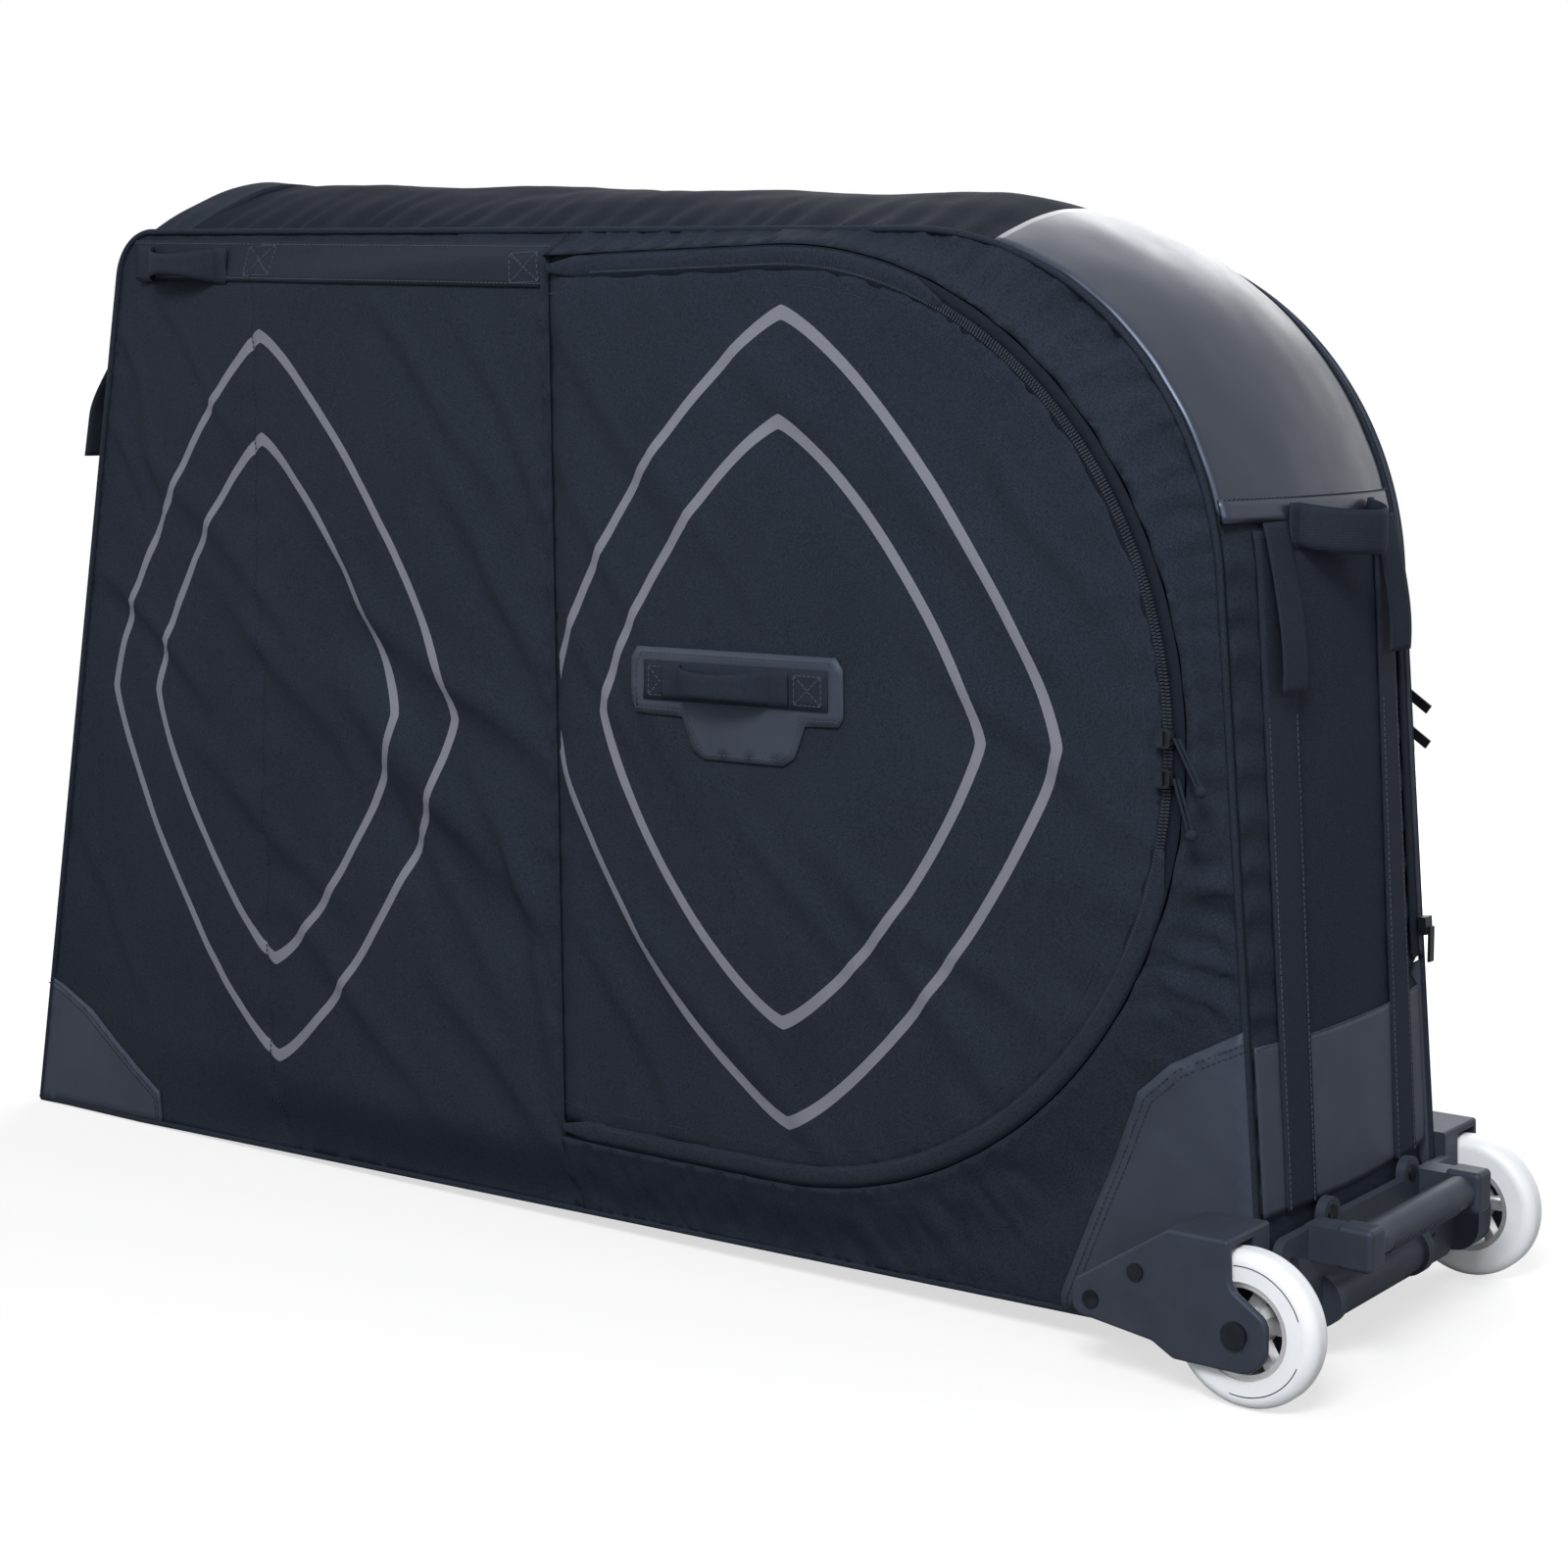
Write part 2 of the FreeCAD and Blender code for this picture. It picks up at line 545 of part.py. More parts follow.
# Sewn strip along the top of each side, and the handle on it
strip_corners = [("strip_front_x", "strip_low_z", 0), ("strip_rear_x", "strip_low_z - strip_fall", 0),
                 ("strip_rear_x", "strip_low_z + strip_high - strip_fall", 0),
                 ("strip_front_x", "strip_low_z + strip_high", 0)]
near_web = prism("near_strip_web", "xz", strip_corners, f"-{side_face} - fit - web", "web")
near_strip = piece("near_side_strip", near_web)
strip_face = f"({side_face} + 2 * fit + web)"


def near_loop(start, long, base):
    """Corners of a handle on the near side, seen from above."""
    return [(u, f"-({v})", r) for u, v, r in u_corners(start, long, base, "side_handle_off")]


side_loop = near_loop("side_handle_x", "side_handle_long", strip_face)
side_bar = prism("near_side_loop", "xy", side_loop, "strip_low_z + strip_border",
                 "strip_high - 5 * strip_border")
near_handle = piece("near_side_handle", side_bar)
piece("far_side_strip", mirror("far_strip", near_strip))
piece("far_side_handle", mirror("far_handle", near_handle))

# Hub patch on each pocket flap, with its handle
patch_corners = [
    ("patch_x", "patch_z", "patch_round"), ("lobe_x", "patch_z", 0),
    ("lobe_x + lobe_slope", "patch_z - lobe_deep", "lobe_round"),
    ("lobe_x + lobe_long - lobe_slope", "patch_z - lobe_deep", "lobe_round"),
    ("lobe_x + lobe_long", "patch_z", 0),
    ("patch_x + patch_long", "patch_z", "patch_round"),
    ("patch_x + patch_long", "patch_z + patch_high", "patch_round"),
    ("patch_x", "patch_z + patch_high", "patch_round"),
]
hub_patch = prism("near_hub_patch", "xz", patch_corners, f"-{flap_face} - fit - patch_thick", "patch_thick")
near_patch = piece("near_flap_patch", hub_patch)
patch_face = f"({flap_face} + 2 * fit + patch_thick)"
flap_loop = near_loop("flap_handle_x", "flap_handle_long", patch_face)
flap_bar = prism("near_flap_loop", "xy", flap_loop, "patch_z + (patch_high - flap_handle_high) / 2",
                 "flap_handle_high")
near_grab = piece("near_flap_handle", flap_bar)
piece("far_flap_patch", mirror("far_hub_patch", near_patch))
piece("far_flap_handle", mirror("far_flap_grab", near_grab))


# Wheels: a cast tyre on a spoked hub that turns on two bearings
def wheel():
    """The near wheel's tyre, hub and bearings; the far ones mirror them."""
    tread = disc("tread", "wheel_radius", "-wheel_y - wheel_wide / 2", "wheel_wide")
    soft = softened("soft_tread", tread, "tyre_round", lambda edge: len(edge.Vertexes) == 1)
    eye = disc("eye", "tyre_inner", "-wheel_y - wheel_wide / 2 - 1", "wheel_wide + 2")
    tyre = cut("tyre", soft, eye)
    hub_y = "-wheel_y - hub_wide / 2"
    rim_out = "(tyre_inner - bearing_run)"
    rim = cut("rim", disc("rim_disc", rim_out, hub_y, "hub_wide"),
              disc("rim_eye", f"{rim_out} - rim_thick", f"{hub_y} - 1", "hub_wide + 2"))
    core_disc = disc("core_disc", "hub_core", hub_y, "hub_wide")
    spokes = []
    for i in range(int(number("spokes"))):
        spoke = box(f"spoke_{i}", "wheel_x", "-wheel_y - hub_wide / 4", "wheel_radius",
                    f"{rim_out} - rim_thick / 2", "hub_wide / 2", "spoke_wide")
        spokes.append(turn(spoke, (0, 1, 0), f"{i} * 360 / spokes"))
    seat = disc("hub_seat", "bearing_outer + bearing_run / 2", f"{hub_y} - 1", "hub_wide + 2")
    hub = cut("hub", fuse("hub_sum", rim, core_disc, *spokes), seat)
    rings = [
        cut(f"bearing_{i}", disc(f"race_{i}", "bearing_outer", at, "bearing_wide"),
            disc(f"bore_{i}", "bearing_bore + bearing_run", f"{at} - 1", "bearing_wide + 2"))
        for i, at in enumerate((hub_y, "-wheel_y + hub_wide / 2 - bearing_wide"))
    ]
    return tyre, hub, group("bearing_pair", *rings)


def disc(name, radius, start, thick):
    """A cylinder on the near wheel's axis."""
    return cylinder(name, "y", "wheel_x", start, "wheel_radius", radius, thick)


def both(node, made):
    """Files a near piece and its mirrored far twin."""
    piece("near_" + node, made)
    piece("far_" + node, mirror("far_" + node + "_twin", made))


for node, made in zip(("tyre", "hub", "bearings"), wheel()):
    both(node, made)

# Wheel brackets: a moulded housing with a slot for the wheel
bracket_face = f"({side_face} + 2 * fit + patch_thick)"
bracket_corners = [
    ("wheel_x - tip_back", "wheel_radius - tip_low", "tip_round"),
    ("wheel_x - belly_back", "wheel_radius - belly_low", "tip_round"),
    ("wheel_x - lip_back", "wheel_radius - lip_low", "tip_round"),
    ("wheel_x + lip_front", "wheel_radius - lip_low", "lip_round"),
    ("wheel_x + lip_front", "wheel_radius + shoulder_high", "neck_round"),
    ("wheel_x - neck_front", "wheel_radius + neck_high", "neck_round"),
    ("wheel_x - crest_front", "wheel_radius + bracket_top", "bracket_edge"),
    ("wheel_x - crest_back", "wheel_radius + bracket_top", "crest_round"),
    ("wheel_x - tip_back", "wheel_radius + tip_top", "tip_round"),
]
blank = prism("housing_blank", "xz", bracket_corners, "-bracket_outer", f"bracket_outer - {bracket_face}")


def outer_edge(edge):
    """True for an edge on the bracket's outer face."""
    return abs(edge.BoundBox.YMax + number("bracket_outer")) < SAME_PLACE


housing = softened("housing", blank, "bracket_edge", outer_edge)
slot_half = "(wheel_wide / 2 + slot_side)"
slot = disc("slot", "wheel_radius + slot_round", f"-wheel_y - {slot_half}", f"2 * {slot_half}")
bolt_eye = disc("bolt_eye", "bearing_bore + bearing_run", "-bracket_outer - 1",
                f"bracket_outer - {bracket_face} - plate")
RIVETS = (
    ("wheel_x - tip_rivet_back", "wheel_radius + tip_rivet_high"),
    ("wheel_x - slope_rivet_back", "wheel_radius + slope_rivet_high"),
)


def rivet_hole(name, x, z):
    return cylinder(name, "y", x, "-bracket_outer - 1", z, "rivet / 2 + bearing_run", "rivet_long + 1")


def rivet(name, x, z):
    """A rivet in the near bracket: a flat head and a shank."""
    shank = cylinder(name + "_shank", "y", x, "-bracket_outer - rivet_bed", z,
                     "rivet / 2", "rivet_long + rivet_bed")
    head = cylinder(name + "_head", "y", x, "-bracket_outer - rivet_high", z, "rivet", "rivet_high")
    return fuse(name, shank, head)


rivet_holes = [rivet_hole(f"rivet_hole_{i}", x, z) for i, (x, z) in enumerate(RIVETS)]
both("bracket", cut("bracket", housing, fuse("bracket_holes", slot, bolt_eye, *rivet_holes)))
near_rivets = [rivet(f"rivet_{i}", x, z) for i, (x, z) in enumerate(RIVETS)]
far_rivets = [mirror(f"far_{made.Name}", made) for made in near_rivets]
piece("bracket_rivets", group("rivet_set", *near_rivets, *far_rivets))

bolt_shaft = disc("bolt_shaft", "bearing_bore", "-bracket_outer",
                  f"bracket_outer - {bracket_face} - plate - bolt_short")
bolt_cap = disc("bolt_cap", "bolt_head", "-bracket_outer - bolt_head_high", "bolt_head_high")
near_bolt = fuse("near_bolt", bolt_shaft, bolt_cap)
piece("axle_bolts", group("bolt_pair", near_bolt, mirror("far_bolt", near_bolt)))


def spacer(name, start, thick):
    """A sleeve on the bolt between a bearing and a bracket plate."""
    return cut(name, disc(name + "_disc", "bearing_bore + spacer_wall", start, thick),
               disc(name + "_eye", "bearing_bore + bearing_run", f"{start} - 1", f"{thick} + 2"))


spacer_long = f"({slot_half} - hub_wide / 2 - fit)"
near_spacers = [
    spacer("outer_spacer", f"-wheel_y - {slot_half}", spacer_long),
    spacer("inner_spacer", f"-wheel_y + {slot_half} - {spacer_long}", spacer_long),
]
far_spacers = [mirror(f"far_{made.Name}", made) for made in near_spacers]
piece("wheel_spacers", group("spacer_set", *near_spacers, *far_spacers))

# Rear carrier: a moulded end plate with a round bumper and a bar grip
plate_x = "(rear_foot_x + end_crown + 2 * fit)"
grip_x = f"({plate_x} + carrier_thick + grip_reach)"
plate_outer = f"({plate_x} + carrier_thick)"
lobe_y = "(grip_half - arm_wide - lobe_wide / 2)"
end_plate = prism("end_plate", "yz", [
    ("-carrier_half", "carrier_low", "carrier_round"), ("carrier_half", "carrier_low", "carrier_round"),
    ("carrier_half", "carrier_high", "carrier_round"), ("-carrier_half", "carrier_high", "carrier_round"),
], plate_x, "carrier_thick")


def plate_lobe(name, y):
    """The raised ear of the end plate beside a grip arm."""
    low = "carrier_high - carrier_round"
    high = "carrier_high + lobe_rise"
    return prism(name, "yz", [
        (f"{y} - lobe_wide / 2", low, 0), (f"{y} + lobe_wide / 2", low, 0),
        (f"{y} + lobe_wide / 2", high, "lobe_tip"), (f"{y} - lobe_wide / 2", high, "lobe_tip"),
    ], plate_x, "carrier_thick")


lobes = [plate_lobe("near_lobe", f"-{lobe_y}"), plate_lobe("far_lobe", lobe_y)]
bumper_x = f"{plate_outer} - bumper_set"
bumper_bar = cylinder("bumper_bar", "y", bumper_x, "-bumper_half", "bumper_z",
                      "bumper_radius", "2 * bumper_half")
bumper_rings = [
    cylinder(f"bumper_ring_{i}", "y", bumper_x, at, "bumper_z",
             "bumper_radius + bumper_ring", "bumper_ring_wide")
    for i, at in enumerate(("-bumper_half", "bumper_half - bumper_ring_wide"))
]
bumper_blank = fuse("bumper_blank", bumper_bar, *bumper_rings)
bumper = cut("bumper", bumper_blank, slab("bumper_back", -FAR, plate_x, -FAR, FAR))


def grip_arm(name, start):
    """An arm from the end plate to the grip, with a square cap round the bar's end."""
    arm = box(name + "_bar", f"{plate_outer} - carrier_thick / 2", start, "grip_z - arm_high / 2",
              f"{grip_x} - {plate_outer} + carrier_thick / 2", "arm_wide", "arm_high")
    cap = box(name + "_cap", f"{grip_x} - grip_radius", start, "grip_z - grip_radius - cap_grow",
              "2 * grip_radius + cap_grow", "arm_wide", "2 * (grip_radius + cap_grow)")
    soft_cap = softened(name + "_soft_cap", cap, "cap_round", lambda edge: True)
    return fuse(name, arm, soft_cap)


arms = [grip_arm("near_arm", "-grip_half"), grip_arm("far_arm", "grip_half - arm_wide")]
grip_bar = cylinder("grip_bar", "y", grip_x, "-grip_half + arm_wide / 2", "grip_z", "grip_radius",
                    "2 * grip_half - arm_wide")
grip_ribs = [
    cylinder(f"grip_rib_{i}", "y", grip_x, f"({i} - (rib_count - 1) / 2) * rib_pitch - rib_wide / 2",
             "grip_z - rib_high", "grip_radius", "rib_wide")
    for i in range(int(number("rib_count")))
]
CARRIER_RIVETS = (
    ("carrier_half - end_rivet_in", "carrier_high - end_rivet_drop"),
    ("carrier_half - low_rivet_in", "carrier_low + low_rivet_rise"),
    (lobe_y, "carrier_high + lobe_rivet_rise"),
)
carrier_marks = [(f"{sign}({y})", z) for sign in ("-", "") for y, z in CARRIER_RIVETS]


def carrier_hole(name, y, z):
    return cylinder(name, "x", f"{plate_x} - 1", y, z, "rivet / 2 + bearing_run", "carrier_thick + 2")


def carrier_rivet(name, y, z):
    """A rivet through the end plate: a shank and a flat head outside."""
    shank = cylinder(name + "_shank", "x", plate_x, y, z, "rivet / 2", "carrier_thick + rivet_bed")
    head = cylinder(name + "_head", "x", plate_outer, y, z, "rivet", "rivet_high")
    return fuse(name, shank, head)


carrier_holes = [carrier_hole(f"carrier_hole_{i}", y, z) for i, (y, z) in enumerate(carrier_marks)]
moulding = fuse("moulding", end_plate, *lobes, bumper, grip_bar, *grip_ribs, *arms)
piece("rear_carrier", cut("carrier", moulding, fuse("carrier_holes", *carrier_holes)))
rivets = [carrier_rivet(f"carrier_rivet_{i}", y, z) for i, (y, z) in enumerate(carrier_marks)]
piece("carrier_rivets", group("carrier_rivet_set", *rivets))


# Inside: a stiff base board, a foam block for the frame and two tubes that hold the front end up
def floor_z(x, above):
    return (f"(front_foot_z + gusset_wall + (rear_foot_z - front_foot_z) * (({x}) - front_foot_x)"
            f" / (rear_foot_x - front_foot_x) + {above})")


board_ends = ("front_foot_x + board_inset", "rear_foot_x - board_inset")
piece("base_board", prism("board", "xz", [
    (board_ends[0], floor_z(board_ends[0], "fit"), 0), (board_ends[1], floor_z(board_ends[1], "fit"), 0),
    (board_ends[1], floor_z(board_ends[1], "fit + board_thick"), 0),
    (board_ends[0], floor_z(board_ends[0], "fit + board_thick"), 0)], "-board_half", "2 * board_half"))
pad_ends = ("pad_x - pad_long / 2", "pad_x + pad_long / 2")
pad_low = "2 * fit + board_thick"
pad_block = prism("pad_block", "xz", [
    (pad_ends[0], floor_z(pad_ends[0], pad_low), 0), (pad_ends[1], floor_z(pad_ends[1], pad_low), 0),
    (pad_ends[1], floor_z(pad_ends[1], f"{pad_low} + pad_high"), 0),
    (pad_ends[0], floor_z(pad_ends[0], f"{pad_low} + pad_high"), 0)], "-pad_half", "2 * pad_half")
groove_z = floor_z("pad_x", f"{pad_low} + pad_high - pad_groove")
pad_slot = box("pad_slot", f"{pad_ends[0]} - 1", "-pad_groove / 2", groove_z,
               "pad_long + 2", "pad_groove", "2 * pad_groove")
piece("frame_pad", cut("pad", pad_block, pad_slot))

front_lean = "(front_top_x - front_foot_x) / (front_top_z - front_foot_z)"
tube_x = f"(front_foot_x + gusset_wall + tube_in + tube_set * ({front_lean}) + tube_radius)"


def stiffener(name, y):
    """A tube that stands on the base board and leans along the front end."""
    low = floor_z(tube_x, f"2 * fit + board_thick + tube_radius * ({front_lean})")
    outer = cylinder(name + "_rod", "z", tube_x, y, low, "tube_radius", "tube_long")
    inner = cylinder(name + "_bore", "z", tube_x, y, low, "tube_radius - tube_wall", "tube_long")
    return cut(name, *[turn(part, (0, 1, 0), f"atan({front_lean})") for part in (outer, inner)])


tubes = [stiffener("near_tube", "-tube_y"), stiffener("far_tube", "tube_y")]
piece("stiffener_tubes", group("tube_pair", *tubes))

# Zip sliders: two on each wheel pocket's zip, one on the main zip
slider_face = f"({trim_face} + fit)"


def slider(name, low_z):
    """A slider body on the near pocket's zip at three o'clock, with a bridge for its pull."""
    x0 = "pocket_x + zip_radius - slider_wide / 2"
    x1 = f"{x0} + slider_wide"
    high_z = f"{low_z} + slider_long"
    body = prism(name + "_body", "xz", [
        (x0, low_z, "slider_round"), (x1, low_z, "slider_round"), (x1, high_z, "slider_round"),
        (x0, high_z, "slider_round")], f"-{slider_face} - slider_high", "slider_high")
    bridge = box(name + "_bridge", f"{x0} + slider_wide / 2 - bridge / 2",
                 f"-{slider_face} - slider_high - bridge_rise", f"{low_z} + bridge_in",
                 "bridge", "bridge", "slider_long - 2 * bridge_in")
    return fuse(name, body, bridge)


def tab(name, low_z):
    """A plain pull that hangs outwards over the pocket's rim."""
    made = box(name, "pocket_x + zip_radius + tab_out", f"-{slider_face} - slider_high",
               f"{low_z} + slider_long / 2", "pull_long", "pull_thick", "pull_wide")
    return turn(made, (0, 1, 0), "tab_hang")


slider_low = {"upper": "pocket_z + slider_long / 2", "lower": "pocket_z - slider_long * 3 / 2"}
for end, low_z in slider_low.items():
    piece(f"near_{end}_slider", slider(f"near_{end}_slide", low_z))
    hung = fuse(f"tabbed_{end}_slide", slider(f"plain_{end}_slide", low_z), tab(f"{end}_tab", low_z))
    piece(f"far_{end}_slider", mirror(f"far_{end}_slide", hung))

# Cord pulls of the near pocket's sliders: two strands to a knot
cord_x = "pocket_x + zip_radius + slider_wide / 2 + fit + cord / 2"
cord_y = f"-{slider_face} - slider_high / 2"


def strands(end, low_z):
    """Two straight strands that leave a slider side by side and end on the knot."""
    made = []
    for i in range(2):
        ball = knot(f"{end}_ball_{i}", end, low_z)
        strand = cylinder(f"{end}_strand_{i}", "z", f"{cord_x} + {i} * (cord + cord_gap)", cord_y,
                          f"{low_z} + slider_long / 2", "cord / 2", "cord_long")
        hung = turn(strand, (0, 1, 0), f"180 - {end}_lean")
        made.append(cut(f"{end}_cord_{i}", hung, ball))
    return group(f"{end}_strands", *made)


def knot(name, end, low_z):
    """The round knot at the strands' ends."""
    made = doc.addObject("Part::Sphere", name)
    bind(made, Radius="knot")
    return place(made, f"{cord_x} + (cord + cord_gap) / 2 + cord_long * sin({end}_lean)", cord_y,
                 f"{low_z} + slider_long / 2 - cord_long * cos({end}_lean)")


for end, low_z in slider_low.items():
    piece(f"near_{end}_cord", strands(end, low_z))
    piece(f"near_{end}_knot", knot(f"{end}_knot", end, low_z))

# Slider of the main zip, on the far side panel's rear edge
rear_lean = "(rear_foot_x - rear_top_x) / (rear_top_z - rear_foot_z)"
slide_x = f"(rear_foot_x - (main_slider_z - rear_foot_z) * {rear_lean} + web + 5 * fit)"
main_body = box("main_slide_body", slide_x, "half_width - main_slider_in", "main_slider_z",
                "slider_high", "slider_wide", "slider_long")
main_tab = box("main_slide_tab", f"{slide_x} + slider_high - pull_bite",
               "half_width - main_slider_in + main_tab_in", "main_slider_z - pull_long + main_tab_overlap",
               "pull_thick + pull_bite", "pull_wide", "pull_long")
leaning_body = turn(main_body, (0, 1, 0), f"-atan({rear_lean})")
piece("main_zip_slider", fuse("main_slide", leaning_body, main_tab))

doc.recompute()


def check(feature):
    """Stops when a feature failed or its shape is empty or broken."""
    broken = any(state in ("Invalid", "Error") for state in feature.State)
    if broken or feature.Shape.isNull() or not feature.Shape.isValid() or not feature.Shape.Solids:
        raise RuntimeError(f"{feature.Label}: {feature.State}")


os.makedirs("parts", exist_ok=True)
for node, feature in PIECES.items():
    check(feature)
    feature.Shape.exportStep(f"parts/{node}.step")
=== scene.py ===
import math

import bmesh
import bpy
import numpy as np
from mathutils import Matrix, Vector, noise
from mathutils.geometry import delaunay_2d_cdt


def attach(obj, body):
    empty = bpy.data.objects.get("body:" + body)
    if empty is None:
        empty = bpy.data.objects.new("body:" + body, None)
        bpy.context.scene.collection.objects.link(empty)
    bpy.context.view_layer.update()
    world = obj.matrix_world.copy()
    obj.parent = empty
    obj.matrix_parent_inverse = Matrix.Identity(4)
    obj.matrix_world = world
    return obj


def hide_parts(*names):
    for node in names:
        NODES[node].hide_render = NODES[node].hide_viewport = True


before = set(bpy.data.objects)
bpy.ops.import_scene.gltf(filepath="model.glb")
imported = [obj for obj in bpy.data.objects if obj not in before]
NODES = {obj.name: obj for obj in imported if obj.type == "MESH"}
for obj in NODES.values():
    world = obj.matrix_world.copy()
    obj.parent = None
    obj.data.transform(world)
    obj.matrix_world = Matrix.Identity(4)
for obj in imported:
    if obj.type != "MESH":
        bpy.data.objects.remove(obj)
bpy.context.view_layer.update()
MM = 0.001

# Sizes in millimetres
HALF = 125
SIDE_FACE = 133.3
PROUD = 25
RIM_FACE = SIDE_FACE + PROUD
POCKET_X, POCKET_Z, POCKET_R, SEAM_X = 230, 420, 340, 15
ZIP_R = 328
SILL_Z = 34
FRONT_FOOT, REAR_FOOT = (-675, 0), (617, 25)
FRONT_TOP, REAR_TOP = (-505, 800), (559, 758)
FRONT_ROUND, REAR_ROUND = 45, 255
CROWN = {"foot": 5, "front": 7, "top": 50, "hood": 22, "round": 30}
TOP_START, HOOD_START, HOOD_HEM = -430, 400, 575
STRAP_IN, STRAP_WIDE = 62, 36
TAIL_WIDE, TAIL_THICK = 34, 1.8
HANDLE_THICK, HANDLE_STEPS = 2.6, 45
PIPE_R, PIPE_STEP, PIPE_LOW = 2.6, 12, 2.8
STITCH, STITCH_PITCH = (2.8, 0.7, 0.7), 4.2
WHEEL_X, WHEEL_Z, WHEEL_FACE, WHEEL_LINE_R = 627, 53, 184, 43.5
PULL_X, PULL_Y = 564.9, -170.2
BAG_MIDDLE = np.array([0, 0, 400])
SIDES = (("near", -1, "case"), ("far", 1, "side_flap"))

# The printed design and the colours of gloss
PRINT_ROUND = 1.28
PRINT_STROKE = 9.5
PRINT_GREY = (0.150, 0.158, 0.190)
WHITE = (1.0, 1.0, 1.0)
COOL = (0.55, 0.68, 1.0)


# Materials
def shader(name, colour, rough, metallic=0.0, shine=0.5, coat=0.0, gloss=WHITE):
    """A principled material; returns it, its tree, its shader and a place for textures in object space."""
    made = bpy.data.materials.new(name)
    made.use_nodes = True
    tree = made.node_tree
    main = tree.nodes["Principled BSDF"]
    looks = {"Base Color": (*colour, 1), "Roughness": rough, "Metallic": metallic, "Coat Weight": coat,
             "Coat Roughness": 0.28, "Specular IOR Level": shine, "Specular Tint": (*gloss, 1)}
    for socket, value in looks.items():
        main.inputs[socket].default_value = value
    place = tree.nodes.new("ShaderNodeTexCoord").outputs["Object"]
    return made, tree, main, place


def link(tree, a, b):
    tree.links.new(a, b)


def plug(tree, value, socket):
    """Links an output to a socket, or sets the socket to a plain value."""
    if isinstance(value, bpy.types.NodeSocket):
        link(tree, value, socket)
    else:
        socket.default_value = value


def shader_node(tree, kind, **values):
    """A shader node with its inputs given by name, spaces as underscores."""
    made = tree.nodes.new("ShaderNode" + kind)
    for name, value in values.items():
        plug(tree, value, made.inputs[name.replace("_", " ")])
    return made


def noise_tex(tree, place, scale, detail=4.0):
    made = shader_node(tree, "TexNoise", Vector=place, Scale=scale, Detail=detail, Roughness=0.6)
    return made.outputs["Fac"]


def wave_tex(tree, place, scale, way):
    made = shader_node(tree, "TexWave", Vector=place, Scale=scale)
    made.bands_direction = way
    return made.outputs["Fac"]


def maths(tree, kind, a, b):
    made = tree.nodes.new("ShaderNodeMath")
    made.operation = kind
    for socket, value in zip(made.inputs, (a, b)):
        plug(tree, value, socket)
    return made.outputs[0]


def tint(tree, main, factor, dark, light):
    """Colours the surface between two tones by a texture; returns the colour."""
    ramp = shader_node(tree, "ValToRGB", Fac=factor)
    for stop, place, colour in zip(ramp.color_ramp.elements, (0.3, 0.7), (dark, light)):
        stop.position = place
        stop.color = (*colour, 1)
    link(tree, ramp.outputs["Color"], main.inputs["Base Color"])
    return ramp.outputs["Color"]


def span(tree, factor, low, high, socket):
    """Runs a socket between two values by a texture."""
    made = shader_node(tree, "MapRange", Value=factor, To_Min=low, To_Max=high)
    link(tree, made.outputs["Result"], socket)


def bump(tree, main, height, strength, depth, under=None):
    made = shader_node(tree, "Bump", Strength=strength, Distance=depth, Height=height)
    if under is not None:
        link(tree, under, made.inputs["Normal"])
    link(tree, made.outputs["Normal"], main.inputs["Normal"])
    return made.outputs["Normal"]


def lozenge_mask(tree, place, prints, face):
    """1 on the strokes of rounded lozenges (x, z, half width, half height), on cloth past the face in y."""
    split = tree.nodes.new("ShaderNodeSeparateXYZ")
    link(tree, place, split.inputs[0])
    found = 0.0
    for x, z, wide, high in prints:
        terms = []
        for name, middle, reach in (("X", x, wide), ("Z", z, high)):
            away = maths(tree, "ABSOLUTE", maths(tree, "SUBTRACT", split.outputs[name], middle * MM), 0)
            terms.append(maths(tree, "POWER", maths(tree, "DIVIDE", away, reach * MM), PRINT_ROUND))
        ring = maths(tree, "POWER", maths(tree, "ADD", *terms), 1 / PRINT_ROUND)
        off = maths(tree, "ABSOLUTE", maths(tree, "SUBTRACT", ring, 1), 0)
        stroke = maths(tree, "LESS_THAN", off, PRINT_STROKE / (wide + high))
        found = maths(tree, "MAXIMUM", found, stroke)
    return maths(tree, "MULTIPLY", found, maths(tree, "LESS_THAN", split.outputs["Y"], face * MM))


def blend(tree, factor, a, b, socket):
    """Mixes two colours by a mask into a socket."""
    made = shader_node(tree, "MixRGB", Fac=factor, Color1=a, Color2=(*b, 1))
    link(tree, made.outputs["Color"], socket)


def woven(name, dark, light, thread=0.9, rough=0.8, slub=0.35, prints=(), face=0.0):
    """Plain woven cloth: crossing threads and slubs, and an outline design if prints are given."""
    made, tree, main, place = shader(name, dark, rough, shine=0.05, gloss=COOL)
    scale = 1 / (thread * MM) / 2
    warp = wave_tex(tree, place, scale, "X")
    weft = wave_tex(tree, place, scale, "Z")
    across = wave_tex(tree, place, scale, "Y")
    weave = maths(tree, "MULTIPLY", maths(tree, "ADD", warp, across), weft)
    speck = maths(tree, "SUBTRACT", noise_tex(tree, place, 820, 2), 0.5)
    grain = maths(tree, "ADD", maths(tree, "MULTIPLY", speck, 1.6), slub)
    cloud = noise_tex(tree, place, 9, 3)
    colour = tint(tree, main, maths(tree, "ADD", grain, maths(tree, "MULTIPLY", cloud, 0.35)), dark, light)
    span(tree, cloud, rough - 0.06, rough + 0.06, main.inputs["Roughness"])
    if prints:
        blend(tree, lozenge_mask(tree, place, prints, face), colour, PRINT_GREY, main.inputs["Base Color"])
    under = bump(tree, main, noise_tex(tree, place, 60, 4), 0.25, 0.6 * MM)
    bump(tree, main, weave, 0.35, 0.15 * MM, under)
    return made


